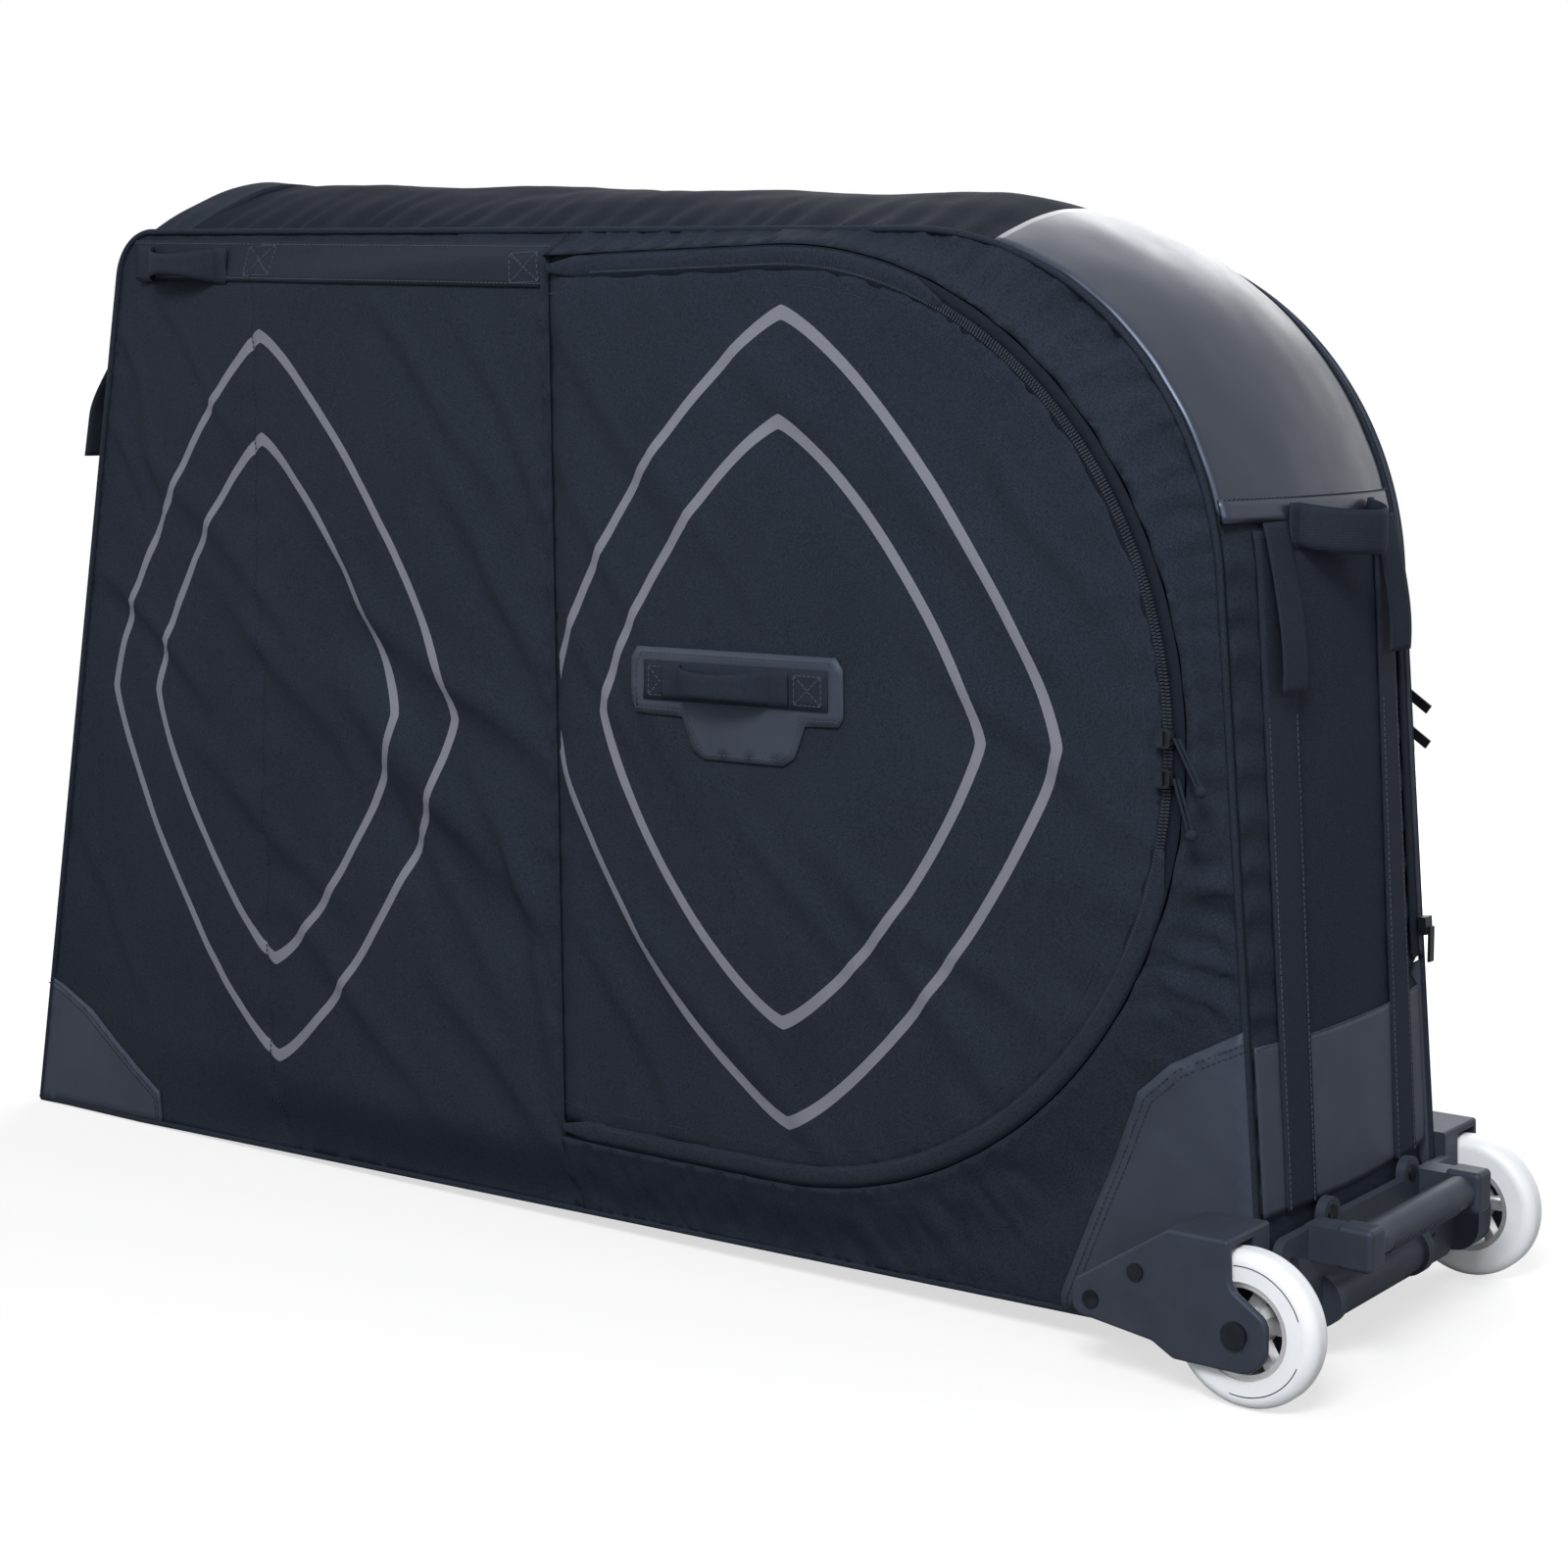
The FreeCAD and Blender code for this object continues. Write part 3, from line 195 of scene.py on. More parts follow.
def coated(name, dark, light, rough, coat=0.0, shine=0.26, grain=420, crease=14):
    """Coated fabric: smooth, with a fine grain and soft creases."""
    made, tree, main, place = shader(name, dark, rough, shine=shine, coat=coat, gloss=COOL)
    cloud = noise_tex(tree, place, crease, 5)
    tint(tree, main, cloud, dark, light)
    span(tree, noise_tex(tree, place, 35, 4), rough - 0.08, rough + 0.1, main.inputs["Roughness"])
    under = bump(tree, main, cloud, 0.3, 1.2 * MM)
    bump(tree, main, noise_tex(tree, place, grain, 2), 0.18, 0.12 * MM, under)
    return made


def ribbed(name, dark, light, way, rib=1.6):
    """Webbing or zip tape: ribs across the thread with a herringbone-like break."""
    made, tree, main, place = shader(name, dark, 0.82, shine=0.1, gloss=COOL)
    scale = 1 / (rib * MM) / 2
    ribs = wave_tex(tree, place, scale, way)
    cross = wave_tex(tree, place, scale * 1.7, "DIAGONAL")
    height = maths(tree, "MULTIPLY", ribs, maths(tree, "ADD", cross, 0.4))
    fuzz = maths(tree, "MULTIPLY", noise_tex(tree, place, 300), 0.5)
    tint(tree, main, maths(tree, "ADD", maths(tree, "MULTIPLY", ribs, 0.4), fuzz), dark, light)
    bump(tree, main, height, 0.5, 0.35 * MM)
    return made


def moulded(name, dark, light, rough, grain=700):
    """Moulded plastic with a fine spark-eroded grain, scuffed a little."""
    made, tree, main, place = shader(name, dark, rough, shine=0.26, gloss=COOL)
    tint(tree, main, noise_tex(tree, place, 40, 5), dark, light)
    span(tree, noise_tex(tree, place, 22, 6), rough - 0.1, rough + 0.12, main.inputs["Roughness"])
    bump(tree, main, noise_tex(tree, place, grain, 2), 0.25, 0.15 * MM)
    return made


def cast(name, dark, light, rough):
    """Cast polyurethane: even, satin, with faint handling marks."""
    made, tree, main, place = shader(name, light, rough, coat=0.15)
    main.inputs["Subsurface Weight"].default_value = 0.12
    main.inputs["Subsurface Radius"].default_value = (0.004, 0.004, 0.004)
    tint(tree, main, noise_tex(tree, place, 18, 5), dark, light)
    span(tree, noise_tex(tree, place, 60, 5), rough - 0.06, rough + 0.12, main.inputs["Roughness"])
    bump(tree, main, noise_tex(tree, place, 350, 3), 0.08, 0.1 * MM)
    return made


def metal(name, dark, light, rough, lines=900):
    """Turned or plated metal with fine tool lines."""
    made, tree, main, place = shader(name, light, rough, metallic=0.85)
    tint(tree, main, noise_tex(tree, place, 80, 4), dark, light)
    span(tree, noise_tex(tree, place, lines, 2), rough - 0.08, rough + 0.1, main.inputs["Roughness"])
    bump(tree, main, wave_tex(tree, place, lines / 2, "Y"), 0.05, 0.05 * MM)
    return made


NIGHT = (0.0115, 0.0148, 0.0225)
DUSK = (0.0195, 0.0245, 0.0355)
FRONT_PRINT = [(-318, 402, 222, 305), (-318, 402, 160, 220)]
FLAP_PRINT = [(245, 420, 232, 292), (245, 420, 172, 216)]
CLOTH = woven("body_cloth", NIGHT, DUSK)
# Painted shade: the top panel's cloth is the body cloth at 0.62 of its tones. It darkens the top, which the
# lamps light brighter than the sides.
TOP_CLOTH_PAINTED_SHADE = woven("top_cloth_painted_shade", tuple(0.62 * v for v in NIGHT), tuple(0.62 * v for v in DUSK))
FRONT_CLOTH = woven("front_cloth", NIGHT, DUSK, prints=FRONT_PRINT, face=2 - SIDE_FACE)
FLAP_CLOTH = woven("flap_cloth", NIGHT, DUSK, prints=FLAP_PRINT, face=-2 - RIM_FACE)
LINING = woven("lining_cloth", (0.020, 0.022, 0.027), (0.034, 0.037, 0.043), thread=1.3)
COATED = coated("coated_patch", (0.0270, 0.0320, 0.0450), (0.0330, 0.0390, 0.0540), 0.52)
TARP = coated("hood_tarpaulin", (0.0130, 0.0155, 0.0225), (0.0170, 0.0200, 0.0285), 0.36, coat=0.12,
              shine=0.5, crease=7)
WEB_DARK, WEB_LIGHT = (0.0120, 0.0150, 0.0225), (0.0215, 0.0265, 0.0385)
WEB_X = ribbed("webbing_lengthways", WEB_DARK, WEB_LIGHT, "X")
WEB_Z = ribbed("webbing_upright", WEB_DARK, WEB_LIGHT, "Z")
TAPE = ribbed("zip_tape", (0.0068, 0.0088, 0.0140), (0.0125, 0.0155, 0.0240), "Z", rib=1.1)
THREAD = moulded("sewing_thread", (0.034, 0.040, 0.055), (0.050, 0.058, 0.078), 0.7)
SEAM_THREAD = moulded("seam_thread", (0.012, 0.015, 0.022), (0.020, 0.024, 0.034), 0.7)
COIL = moulded("zip_coil", (0.012, 0.0145, 0.021), (0.024, 0.028, 0.038), 0.45)
PLASTIC = moulded("carrier_plastic", (0.0230, 0.0275, 0.0390), (0.0300, 0.0355, 0.0490), 0.5)
BOARD = moulded("board_plastic", (0.035, 0.036, 0.039), (0.05, 0.051, 0.055), 0.55)
FOAM = woven("foam_cover", (0.035, 0.036, 0.04), (0.06, 0.061, 0.066), thread=1.5)
TYRE = cast("cast_tyre", (0.66, 0.685, 0.72), (0.72, 0.745, 0.78), 0.42)
ALLOY = metal("turned_alloy", (0.72, 0.73, 0.75), (0.86, 0.87, 0.89), 0.34)
STEEL = metal("plated_steel", (0.32, 0.33, 0.35), (0.50, 0.51, 0.53), 0.32)
DARK_METAL = metal("black_metal", (0.016, 0.0185, 0.025), (0.030, 0.035, 0.045), 0.4)
INK = moulded("dark_ink", (0.012, 0.013, 0.015), (0.02, 0.021, 0.024), 0.5)


# Meshes
def make(name, points, faces, material, body, nodes=(), slot=None, flat=False):
    """A piece from points in millimetres that rides a body and stands for CAD nodes."""
    mesh = bpy.data.meshes.new(name)
    spots = [tuple(float(c) * MM for c in p) for p in points]
    mesh.from_pydata(spots, [], [tuple(int(i) for i in f) for f in faces])
    shaped = bmesh.new()
    shaped.from_mesh(mesh)
    bmesh.ops.recalc_face_normals(shaped, faces=shaped.faces)
    shaped.to_mesh(mesh)
    shaped.free()
    mesh.polygons.foreach_set("use_smooth", [not flat] * len(mesh.polygons))
    mesh.materials.append(material)
    made = bpy.data.objects.new(name, mesh)
    bpy.context.scene.collection.objects.link(made)
    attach(made, body)
    if nodes:
        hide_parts(*nodes)
    return made


def small_pieces(name, blocks, material, body, slot):
    """Many small blocks as one faceted piece."""
    make(name, *merged(*blocks), material, body, slot=slot, flat=True)


def merged(*slabs):
    """One list of points and one of faces from several."""
    points, faces = [], []
    for some, quads in slabs:
        faces += [tuple(i + len(points) for i in f) for f in quads]
        points += [tuple(p) for p in some]
    return points, faces


def grid_faces(rows, columns, wrap=False, first=0):
    """Quads of a grid of points stored row by row."""
    found = []
    for i in range(rows - 1):
        for j in range(columns - (0 if wrap else 1)):
            k = (j + 1) % columns
            found.append((first + i * columns + j, first + i * columns + k,
                          first + (i + 1) * columns + k, first + (i + 1) * columns + j))
    return found


def unit(vectors):
    return vectors / np.maximum(np.linalg.norm(vectors, axis=-1, keepdims=True), 1e-9)


def normals_of(grid):
    """Unit normals of a grid of points."""
    return unit(np.cross(np.gradient(grid, axis=0), np.gradient(grid, axis=1)))


def sideways(points):
    """Unit normals of a line of (x, z) in its own plane."""
    along = np.gradient(np.array(points, float), axis=0)
    return unit(np.stack([-along[:, 1], along[:, 0]], axis=1))


def slab_points(outer, inner):
    """Points and faces of a closed slab between two grids of the same size."""
    rows, columns = outer.shape[:2]
    count = rows * columns
    faces = grid_faces(rows, columns) + [tuple(reversed(f)) for f in grid_faces(rows, columns, first=count)]
    rim = [(0, j) for j in range(columns)] + [(i, columns - 1) for i in range(1, rows)]
    rim += [(rows - 1, j) for j in range(columns - 2, -1, -1)] + [(i, 0) for i in range(rows - 2, 0, -1)]
    for (a, b), (c, d) in zip(rim, rim[1:] + rim[:1]):
        p, q = a * columns + b, c * columns + d
        faces.append((p, q, q + count, p + count))
    return np.concatenate([outer.reshape(-1, 3), inner.reshape(-1, 3)]), faces


def laid(rows, height, thick, sign):
    """A slab of even thickness over a grid of (x, z) on a side surface."""
    top = np.array([[(x, sign * height(x, z), z) for x, z in row] for row in rows])
    return slab_points(top, top - np.array([0, sign * thick, 0]))


def ripple(x, z, seed):
    return noise.noise(Vector((x, z, seed)))


def fold(x, z, lean, long, wide, seed):
    """Soft ridges that run along a lean in degrees: 0 to 1."""
    c, s = math.cos(math.radians(lean)), math.sin(math.radians(lean))
    n = ripple((x * c + z * s) / long, (-x * s + z * c) / wide, seed)
    return max(0.0, 1 - abs(n) * 3.2) ** 2


def crease(x, z, x0, z0, x1, z1, wide, high):
    """A soft ridge along a line with a hollow beside it; it dies out past its ends."""
    run = math.hypot(x1 - x0, z1 - z0)
    along = ((x - x0) * (x1 - x0) + (z - z0) * (z1 - z0)) / run
    off = ((x - x0) * (z1 - z0) - (z - z0) * (x1 - x0)) / run
    if abs(off) > 6 * wide + 12 or not -90 < along < run + 90:
        return 0.0
    off += 9 * ripple(along / 80, run / 100, x0 / 50)
    past = max(0.0, -along, along - run)
    fade = math.exp(-(past / 36) ** 2) * (0.4 + 0.6 * math.sin(math.pi * ease((along + 60) / (run + 120))))
    ridge = math.exp(-(off / (wide if off < 0 else 0.55 * wide)) ** 2)
    hollow = math.exp(-((off - 1.5 * wide) / (1.1 * wide)) ** 2)
    return high * fade * (ridge - 0.7 * hollow)


def ease(t):
    t = min(1.0, max(0.0, t))
    return t * t * (3 - 2 * t)


# The gusset: a band round the bag, crowned between its two edges
def corners(crown):
    """Outline corners with their radii: front foot, front top, rear top, rear foot."""
    rise = {place: size * crown for place, size in CROWN.items()}
    return [
        (FRONT_FOOT[0] - rise["foot"], FRONT_FOOT[1], 0),
        (FRONT_TOP[0] - rise["front"], FRONT_TOP[1] + rise["top"], FRONT_ROUND + rise["round"]),
        (REAR_TOP[0] + rise["hood"], REAR_TOP[1] + rise["hood"], REAR_ROUND + rise["round"]),
        (REAR_FOOT[0] + rise["foot"], REAR_FOOT[1], 0),
    ]


def base_z(x):
    """The slanting underside of the bag."""
    return REAR_FOOT[1] * (x - FRONT_FOOT[0]) / (REAR_FOOT[0] - FRONT_FOOT[0])


STEPS = {"line": (150, 130, 120), "arc": (20, 70)}


def band_line(crown):
    """Points (x, z) from the front foot over the top to the rear foot, the same number for every crown."""
    points = [np.array(c[:2], float) for c in corners(crown)]
    radii = [c[2] for c in corners(crown)]
    stops = []
    for i in (1, 2):
        back = unit(points[i - 1] - points[i])
        ahead = unit(points[i + 1] - points[i])
        half = math.acos(float(back @ ahead)) / 2
        run = radii[i] / math.tan(half)
        centre = points[i] + unit(back + ahead) * radii[i] / math.sin(half)
        stops.append((points[i] + back * run, centre, points[i] + ahead * run))
    line = []
    starts = [points[0], stops[0][2], stops[1][2]]
    ends = [stops[0][0], stops[1][0], points[3]]
    for k in range(3):
        t = np.linspace(0, 1, STEPS["line"][k], endpoint=k == 2)[:, None]
        line.append(starts[k] * (1 - t) + ends[k] * t)
        if k < 2:
            arrive, centre, leave = stops[k]
            a, b = (math.atan2(*(p - centre)[::-1]) for p in (arrive, leave))
            turn = np.linspace(a, b, STEPS["arc"][k], endpoint=False)[:, None]
            line.append(centre + np.linalg.norm(arrive - centre) * np.hstack([np.cos(turn), np.sin(turn)]))
    return np.concatenate(line)


EDGE_LINE, MID_LINE = band_line(0), band_line(1)
BAND_RUN = np.concatenate([[0], np.cumsum(np.linalg.norm(np.diff(EDGE_LINE, axis=0), axis=1))])


def offset_out(points, by):
    """Points of the outline moved outwards in its own plane."""
    return [tuple(p) for p in np.array(points, float) + by * sideways(points)]


def band_grid(keep, ys, lift=0.0, relief=None):
    """Grid of points on the gusset where keep(x, z) holds, at the given y values."""
    rows = [i for i, (x, z) in enumerate(EDGE_LINE) if keep(x, z)]
    crown = 1 - (np.array(ys) / HALF) ** 2
    flat = EDGE_LINE[rows][:, None] + (MID_LINE[rows] - EDGE_LINE[rows])[:, None] * crown[None, :, None]
    across = np.broadcast_to(np.array(ys, float), flat.shape[:2])
    grid = np.stack([flat[..., 0], across, flat[..., 1]], axis=2)
    up = normals_of(grid)
    middle = len(rows) // 2, len(ys) // 2
    if up[middle] @ (grid[middle] - BAG_MIDDLE) < 0:
        up = -up
    height = np.full(grid.shape[:2], float(lift))
    if relief:
        for a, i in enumerate(rows):
            for b, y in enumerate(ys):
                height[a, b] += relief(BAND_RUN[i], y)
    return grid + up * height[..., None], up


def band_slab(keep, ys, lift=0.0, thick=6.0, relief=None):
    """A closed slab on the gusset."""
    outer, up = band_grid(keep, ys, lift, relief)
    return slab_points(outer, outer - up * thick)


def band_piece(name, slabs, material, nodes, slot):
    made = make(name, *merged(*slabs), material, "case", nodes, slot)
    return made


def gather(run, y, reach, pitch, deep):
    """Puckers that die out away from the two edge seams."""
    near = math.exp(-(HALF - abs(y)) / reach)
    uneven = 0.5 + 0.8 * abs(ripple(run / 70, y / 200, 9.0))
    return near * deep * uneven * (math.sin(run / pitch + 3.0 * ripple(run / 60, 0.3, 4.0)) - 0.6)


def slack(run, y, seed, deep):
    """Broad soft hollows with finer ones in them."""
    return deep * ripple(run / 140, y / 70, seed) + 0.35 * deep * ripple(run / 45, y / 30, seed + 3)


def puckered(reach, deep, seed, sag, pitch=5.2):
    """Relief of a panel on the gusset: puckers at its edges and soft hollows."""
    return lambda run, y: gather(run, y, reach, pitch, deep) + slack(run, y, seed, sag)


def slackened(seed, deep):
    """Relief of a flat piece on the gusset: soft hollows alone."""
    return lambda run, y: slack(run, y, seed, deep)


Y_FINE = np.linspace(-HALF, HALF, 41)


def zone(x_low=-math.inf, x_high=math.inf, z_low=-math.inf, z_high=math.inf):
    """A test whether a point (x, z) lies in a box."""
    return lambda x, z: x_low < x < x_high and z_low < z < z_high


LAP = 6
on_front = zone(x_high=TOP_START + LAP, z_low=SILL_Z - LAP)
on_top = zone(TOP_START - LAP, HOOD_START + LAP, POCKET_Z)
on_hood = zone(HOOD_START - LAP, z_low=HOOD_HEM - LAP)
on_end = zone(HOOD_START, z_low=SILL_Z - LAP, z_high=HOOD_HEM + 4)
on_hem = zone(HOOD_START, z_low=HOOD_HEM - 7, z_high=HOOD_HEM + 14)
front = band_slab(on_front, Y_FINE, relief=puckered(26, 2.6, 1.0, 3.5))
band_piece("front_skin", [front], CLOTH, ["front_panel"], "body_fabric")
top = band_slab(on_top, Y_FINE, relief=puckered(34, 3.4, 2.0, 4.0))
# The top panel takes the cloth darkened with painted shade.
band_piece("top_skin", [top], TOP_CLOTH_PAINTED_SHADE, ["top_panel"], "body_fabric")
hood = band_slab(on_hood, Y_FINE, 1.2, relief=puckered(12, 0.5, 5.0, 1.4, pitch=7))
hem = band_slab(on_hem, np.linspace(-124, 124, 31), 2.4, 3.0)
band_piece("hood_skin", [hood, hem], TARP, ["hood_panel"], "hood_tarpaulin")
rear = band_slab(on_end, Y_FINE, -0.4, relief=puckered(24, 4.2, 7.0, 1.4))
band_piece("end_skin", [rear], CLOTH, ["end_panel"], "body_fabric")


def base_slab():
    """The base with its turned-up ends."""
    lean = (FRONT_TOP[0] - FRONT_FOOT[0]) / (FRONT_TOP[1] - FRONT_FOOT[1])
    rake = (REAR_FOOT[0] - REAR_TOP[0]) / (REAR_TOP[1] - REAR_FOOT[1])
    outer, inner = [], []
    stops = [(0.0, SILL_Z), (0.0, 12), (0.0, 0.6)] + [(t, 0.6) for t in np.linspace(0.01, 0.99, 60)]
    stops += [(1.0, 0.6), (1.0, 6), (1.0, SILL_Z - REAR_FOOT[1])]
    for t, up in stops:
        x = FRONT_FOOT[0] * (1 - t) + REAR_FOOT[0] * t
        z = base_z(x) + up
        end = {0: -1, 1: 1}.get(t, 0)
        shift = {-1: lean, 0: 0, 1: -rake}[end] * up
        row = [(x + shift + end * (3 + 5 * (1 - (y / HALF) ** 2)), y, z) for y in Y_FINE[::4]]
        outer.append(row)
        inner.append([(px - 4 * end, y, z + 4) for px, y, _ in row])
    return slab_points(np.array(outer), np.array(inner))


band_piece("base_skin", [base_slab()], COATED, ["base_panel"], "body_fabric")


# Sides
OUTLINE = [tuple(p) for p in EDGE_LINE]


def resample(points, step):
    """Points at even steps along a polyline."""
    found = []
    for a, b in zip(points, points[1:]):
        count = max(1, round(math.dist(a, b) / step))
        found += [tuple(np.array(a) + (np.array(b) - np.array(a)) * k / count) for k in range(count)]
    return found + [tuple(points[-1])]


RIM = np.array(resample(OUTLINE + [OUTLINE[0]], 4))
TOP_POINTS = sum(STEPS["line"][:2]) + STEPS["arc"][0]


def inside(x, z, ring):
    """True where a point lies in a closed ring given as an array."""
    after = np.roll(ring, -1, axis=0)
    spans = (ring[:, 1] > z) != (after[:, 1] > z)
    a, b = ring[spans], after[spans]
    return bool(np.count_nonzero(x < (b[:, 0] - a[:, 0]) * (z - a[:, 1]) / (b[:, 1] - a[:, 1]) + a[:, 0]) % 2)


def crossings(polygon, axis, value):
    """Where a polygon crosses a line x = value (axis 0) or z = value (axis 1)."""
    found = []
    for a, b in zip(polygon, polygon[1:] + polygon[:1]):
        if (a[axis] > value) != (b[axis] > value):
            t = (value - a[axis]) / (b[axis] - a[axis])
            found.append(a[1 - axis] + t * (b[1 - axis] - a[1 - axis]))
    return sorted(found)


def edge_gap(x, z):
    return float(np.hypot(RIM[:, 0] - x, RIM[:, 1] - z).min())


def rim_gap(x, z):
    """Distance outwards from the pocket's rim."""
    if x > POCKET_X:
        return math.hypot(x - POCKET_X, z - POCKET_Z) - POCKET_R
    return abs(z - POCKET_Z) - POCKET_R


def rim_run(x, z):
    """Distance along the pocket's rim from the upper end of its seam."""
    quarter = POCKET_X - SEAM_X
    if x > POCKET_X:
        return quarter + POCKET_R * math.atan2(x - POCKET_X, z - POCKET_Z)
    return x - SEAM_X if z > POCKET_Z else quarter + POCKET_R * math.pi + POCKET_X - x


MID_SEAM = -330
FRONT_CREASES = [
    (-467, 600, -261, 443, 18, 4.4), (-394, 512, -190, 345, 22, 5.4), (-206, 413, -12, 263, 28, 8.5),
    (-184, 372, -66, 205, 14, 3.8), (-192, 482, 10, 376, 18, 5.4), (-270, 590, -125, 408, 14, 3.4),
    (-95, 585, 10, 430, 14, 4.4), (-540, 498, -420, 412, 12, 4.2), (-405, 347, -250, 250, 17, 4.2),
    (-63, 350, 10, 215, 11, 3.8), (-35, 300, 10, 135, 12, 4.4), (-500, 690, -452, 509, 11, 3.6),
    (-290, 225, -140, 90, 17, 4.0), (-120, 180, 0, 80, 16, 4.0), (-462, 742, -370, 640, 8, 2.8),
    (-512, 716, -482, 645, 7, 2.6), (-532, 634, -490, 575, 8, 3.0), (-170, 720, -60, 600, 11, 3.0),
    (-60, 690, 8, 560, 10, 3.2), (-590, 250, -520, 130, 11, 3.0),
]


def seam_pucker(high, off, reach, run, pitch, drift, place, seed, sway=2.0):
    """Puckers along a seam that die out with the distance off it."""
    return high * math.exp(-off / reach) * math.sin(run / pitch + sway * ripple(run / drift, place, seed))


def front_edges(x, z):
    """The bag's lower and upper edge at x and its front edge at z."""
    high = float(np.interp(x, EDGE_LINE[:TOP_POINTS, 0], EDGE_LINE[:TOP_POINTS, 1]))
    left = FRONT_FOOT[0] + (FRONT_TOP[0] - FRONT_FOOT[0]) * z / FRONT_TOP[1]
    return base_z(x), high, left


def front_height(x, z):
    """Near side in front of the pocket: a padded wedge that rises to its seam, with slanting folds."""
    low, high, left = front_edges(x, z)
    along = ease((x - left) / (SEAM_X - left))
    rim = ease((z - low) / (95 - 30 * along)) * ease((high - z) / (70 - 48 * along))
    hem = ease(edge_gap(x, z) / 13)
    folds = sum(crease(x, z, *line) for line in FRONT_CREASES)
    folds += 1.6 * ripple(x / 70, z / 110, 3.0) + 0.7 * ripple(x / 24, z / 34, 8.0)
    swell = PROUD * along * rim + 9 * math.sin(math.pi * along) * rim
    gathers = seam_pucker(1.8, high - z, 22, x, 6.5, 60, 0, 6.0, sway=2.5)
    seam = math.exp(-((x - MID_SEAM) / 2.6) ** 2) * 2.2
    seam -= seam_pucker(1.3, abs(x - MID_SEAM), 12, z, 7, 50, 1, 3.0)
    tuck = 2.6 * math.exp(-((SEAM_X - x) / 4.5) ** 2)
    pucker = seam_pucker(1.4, SEAM_X - x, 18, z, 8, 60, 0, 3.0)
    relief = (folds - 1.0) * (0.35 + 0.65 * rim) - seam + pucker + gathers - tuck
    return SIDE_FACE + 0.6 + hem * (swell + relief)


def gusset_height(x, z):
    """Near side round the pocket: it falls from the pocket's rim to the bag's edge, puffed and crumpled."""
    out = max(0.0, rim_gap(x, z))
    edge = edge_gap(x, z)
    wide = out + edge
    run = rim_run(x, z)
    calm = 1 - 0.85 * ease((x - 420) / 50) * (1 - ease((z - 225) / 45))
    calm *= 0.3 + 0.7 * ease((z - 90) / 120)
    sway = 14 * ripple(run / 90, out / 60, 1.0)
    uneven = 0.5 * ripple(run / 15, 0, 4.0) + 0.3 * ripple(run / 6, 0, 9.0)
    reach = max(15, min(wide, 75)) * (0.86 + calm * uneven)
    fall = 1 - ease(0.12 + 0.88 * out / reach) + 0.04
    puff = 4.5 * math.sin(math.pi * out / wide) * ease(wide / 70)
    wave = ripple((run + sway) / 24, out / 50, 2.0) * 9.0 + ripple((run - sway) / 10, out / 26, 6.0) * 5.6
    pleat = fold(run + sway, out, 90, 70, 14, 21.0) * 4.2 + fold(run, out, 55, 60, 13, 24.0) * 3.4
    pucker = seam_pucker(1.2, out, 20, run, 6.5, 50, 0, 3.0)
    pucker += seam_pucker(1.6, edge, 16, run, 6.0, 50, 5, 3.0)
    crumple = (wave + pleat - 2.4) * ease((out - 6) / 18) * calm
    welt = 3.6 * math.exp(-(out / 7) ** 2)
    return SIDE_FACE + 0.6 + PROUD * fall + welt + ease(edge / 9) * (puff + crumple + pucker * calm)


def side_height(x, z):
    return front_height(x, z) if x < SEAM_X else gusset_height(x, z)


def far_height(x, z):
    """The far side: as the near one, but flat at the sill that it folds down on, inside its hinge line."""
    return SIDE_FACE + 0.1 + (side_height(x, z) - SIDE_FACE - 0.1) * ease((z - SILL_Z) / 45)


FLAP_CREASES = [
    (35, 700, 150, 560, 15, 3.4), (30, 600, 120, 470, 12, 3.0), (60, 520, 190, 330, 18, 2.6),
    (40, 360, 150, 200, 15, 3.4), (330, 620, 470, 480, 16, 2.6), (290, 330, 420, 180, 18, 3.0),
    (120, 250, 260, 120, 15, 3.0), (380, 480, 520, 380, 15, 2.4), (200, 690, 330, 590, 16, 2.4),
    (40, 480, 110, 380, 10, 2.6), (110, 640, 210, 520, 12, 2.2), (330, 300, 480, 230, 14, 2.4),
    (200, 360, 330, 230, 12, 2.4), (420, 610, 500, 520, 11, 2.4), (60, 240, 130, 130, 11, 2.8),
]


def flap_height(x, z):
    """The pocket's flap: softly crowned, with a sewn line inside its zip and slanting folds."""
    inset = -rim_gap(x, z) - (POCKET_R - ZIP_R)
    aft = x - SEAM_X
    crown = 8.5 * ease(inset / 170) * ease(aft / 150)
    folds = sum(crease(x, z, *line) for line in FLAP_CREASES)
    folds += 1.3 * ripple(x / 90, z / 120, 12.0) + 0.5 * ripple(x / 26, z / 38, 15.0)
    run = rim_run(x, z)
    pucker = seam_pucker(1.3, max(0, inset - 14), 20, run, 7.5, 60, 0, 7.0)
    pucker += seam_pucker(1.3, aft, 16, z, 8, 60, 4, 3.0)
    groove = 1.5 * math.exp(-((inset - 15) / 2.6) ** 2)
    rise = ease(aft / 26)
    soft = ease(inset / 20) * ease(aft / 12)
    hem = 3.4 * (1 - ease((inset - 3) / 7)) * rise
    base = RIM_FACE - 1.6 + 2.4 * ease(aft / 7) + 7.4 * rise
    return base + crown + soft * (folds + pucker) - groove * rise - hem


SEAM_DOTS = [(MID_SEAM + off, z) for off in (-7, -3, 0, 3, 7) for z in np.arange(12, 760, 6)]


